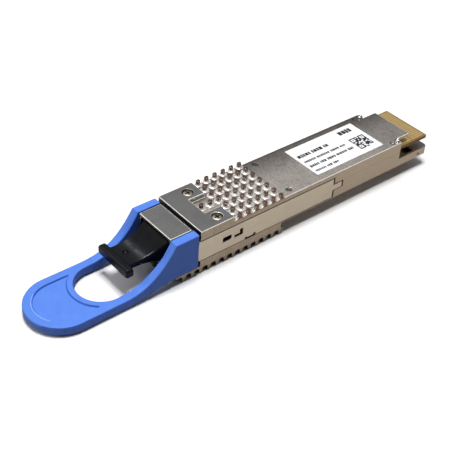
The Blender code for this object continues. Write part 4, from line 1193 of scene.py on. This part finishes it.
def dress_nodes(mat):
    """Finishes of the CAD nodes that stay, with a small round on their edges."""
    finishes = {
        "black_plastic": "mpo_receptacle", "resin": "mt_ferrule", "copper": "optics_carrier",
        "bright": "guide_pin_right guide_pin_left pin_clamp", "ribbon": "fibre_ribbon",
        "strip": "receptacle_retainer clock_oscillator", "glass": "fibre_array",
        "gold": "laser_right laser_left",
        "silicon": "photonic_chip modulator_driver receiver_amplifier",
        "pad": "thermal_pad_bench thermal_pad_processor", "board": "main_board",
        "chip": "signal_processor microcontroller power_regulator", "gasket": "emi_gasket",
        "ferrite": "power_inductor_left power_inductor_middle power_inductor_right",
    }
    for finish, names in finishes.items():
        for name in names.split():
            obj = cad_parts[name]
            obj.data.materials.clear()
            obj.data.materials.append(mat[finish])
            if "guide" not in name:
                weld = obj.modifiers.new("weld", 'WELD')
                weld.merge_threshold = 0.001 * MM
                add_bevel(obj, 0.06 * MM, 2, 35)


# ---- stage

def make_floor():
    """A pale floor. The light it throws back on the object is warmer than the floor looks."""
    bpy.ops.mesh.primitive_plane_add(size=0.7, location=(0, 0, -0.0002))
    floor = bpy.context.object
    floor.name = "studio_floor"
    paint = Shader("floor_paint", FLOOR_BOUNCE, 0.6)
    paint.blend(paint.node("ShaderNodeLightPath").outputs["Is Camera Ray"], FLOOR_SEEN)
    floor.data.materials.append(paint.material)


def make_world():
    """A soft surround: warm below, grey above, dim on one side and pale where seen directly."""
    world = bpy.data.worlds.new("studio")
    bpy.context.scene.world = world
    world.use_nodes = True
    tree = Tree(world.node_tree)
    direction = tree.split(tree.node("ShaderNodeTexCoord").outputs["Generated"])
    below = (0.44, 0.38, 0.31, 1)
    ramp = tree.node("ShaderNodeValToRGB")
    stops = ramp.color_ramp.elements
    stops[0].position, stops[0].color = 0.0, below
    stops[1].position, stops[1].color = 1.0, (0.4, 0.4, 0.41, 1)
    for position, colour in ((0.48, below), (0.51, (0.05, 0.05, 0.055, 1)),
                             (0.66, (0.1, 0.1, 0.105, 1)), (0.81, (0.36, 0.36, 0.365, 1))):
        stops.new(position).color = colour
    surround = world.node_tree.nodes["Background"]
    tree.link(tree.remap(direction["Z"], 0.0, 1.0, -1.0, 1.0), ramp.inputs["Fac"])
    tree.link(ramp.outputs["Color"], surround.inputs["Color"])
    tree.link(tree.remap(direction["X"], 1.0, 0.15, -0.1, 0.35), surround.inputs["Strength"])
    seen = tree.node("ShaderNodeBackground")
    seen.inputs["Color"].default_value = (0.95, 0.95, 0.95, 1)
    mix = tree.node("ShaderNodeMixShader")
    tree.link(tree.node("ShaderNodeLightPath").outputs["Is Camera Ray"], mix.inputs["Fac"])
    tree.link(surround.outputs["Background"], mix.inputs[1])
    tree.link(seen.outputs["Background"], mix.inputs[2])
    tree.link(mix.outputs["Shader"], world.node_tree.nodes["World Output"].inputs["Surface"])


def make_light(name, place, aim, size, power, colour=(1, 1, 1)):
    light = bpy.data.lights.new(name, 'AREA')
    light.shape = 'RECTANGLE'
    light.size, light.size_y = size
    light.energy = power
    light.color = colour
    obj = bpy.data.objects.new(name, light)
    bpy.context.scene.collection.objects.link(obj)
    obj.location = place
    obj.rotation_euler = (Vector(aim) - Vector(place)).to_track_quat('-Z', 'Y').to_euler()


def make_camera():
    """The camera at the reference view: its aim, its direction, its distance and its roll."""
    aim = Vector((-4.01, -1.54, -1.69))
    azimuth, elevation, roll = 48.378, 38.548, 3.823
    distance = 267.585
    turn = Matrix.Identity(4)
    for degrees, axis in ((azimuth, 'Z'), (90 - elevation, 'X'), (roll, 'Z')):
        turn = turn @ Matrix.Rotation(math.radians(degrees), 4, axis)
    data = bpy.data.cameras.new("camera")
    data.lens = 76.87
    data.sensor_width = 36.0
    data.clip_start = 0.01
    data.clip_end = 20.0
    camera = bpy.data.objects.new("camera", data)
    bpy.context.scene.collection.objects.link(camera)
    camera.matrix_world = (Matrix.Translation(aim * MM) @ turn
                           @ Matrix.Translation((0, 0, distance * MM)))
    bpy.context.scene.camera = camera


def make_stage():
    make_floor()
    make_world()
    make_camera()
    bpy.context.scene.view_settings.view_transform = 'Standard'
    make_light("overhead_softbox", (0.0, -0.02, 0.7), (0, 0, 0), (0.2, 0.2), 4.7)
    make_light("front_softbox", (-0.2, -0.5, 0.36), (0, 0, 0), (0.3, 0.25), 0.8, (1.0, 0.96, 0.9))
    make_light("side_softbox", (0.48, 0.42, 0.46), (0, 0, 0), (0.25, 0.2), 0.25)
    make_light("sheen_card", (-0.351, 0.072, 0.476), (0, -0.035, 0), (0.04, 0.12), 0.11)


# ---- build

materials = make_materials()
make_stage()
make_lid(materials)
make_base(materials)
make_pins(materials)
for side_word, side_sign in SIDES.items():
    make_strip(side_word, side_sign, materials)
    make_spring(side_word, side_sign, materials)
make_pull_tab(materials)
make_dust_plug(materials)
make_fasteners(materials)
make_contacts("top", CARD_TOP, materials)
make_contacts("bottom", CARD_BOTTOM - CONTACT_THICK, materials)
make_label(materials)
dress_nodes(materials)
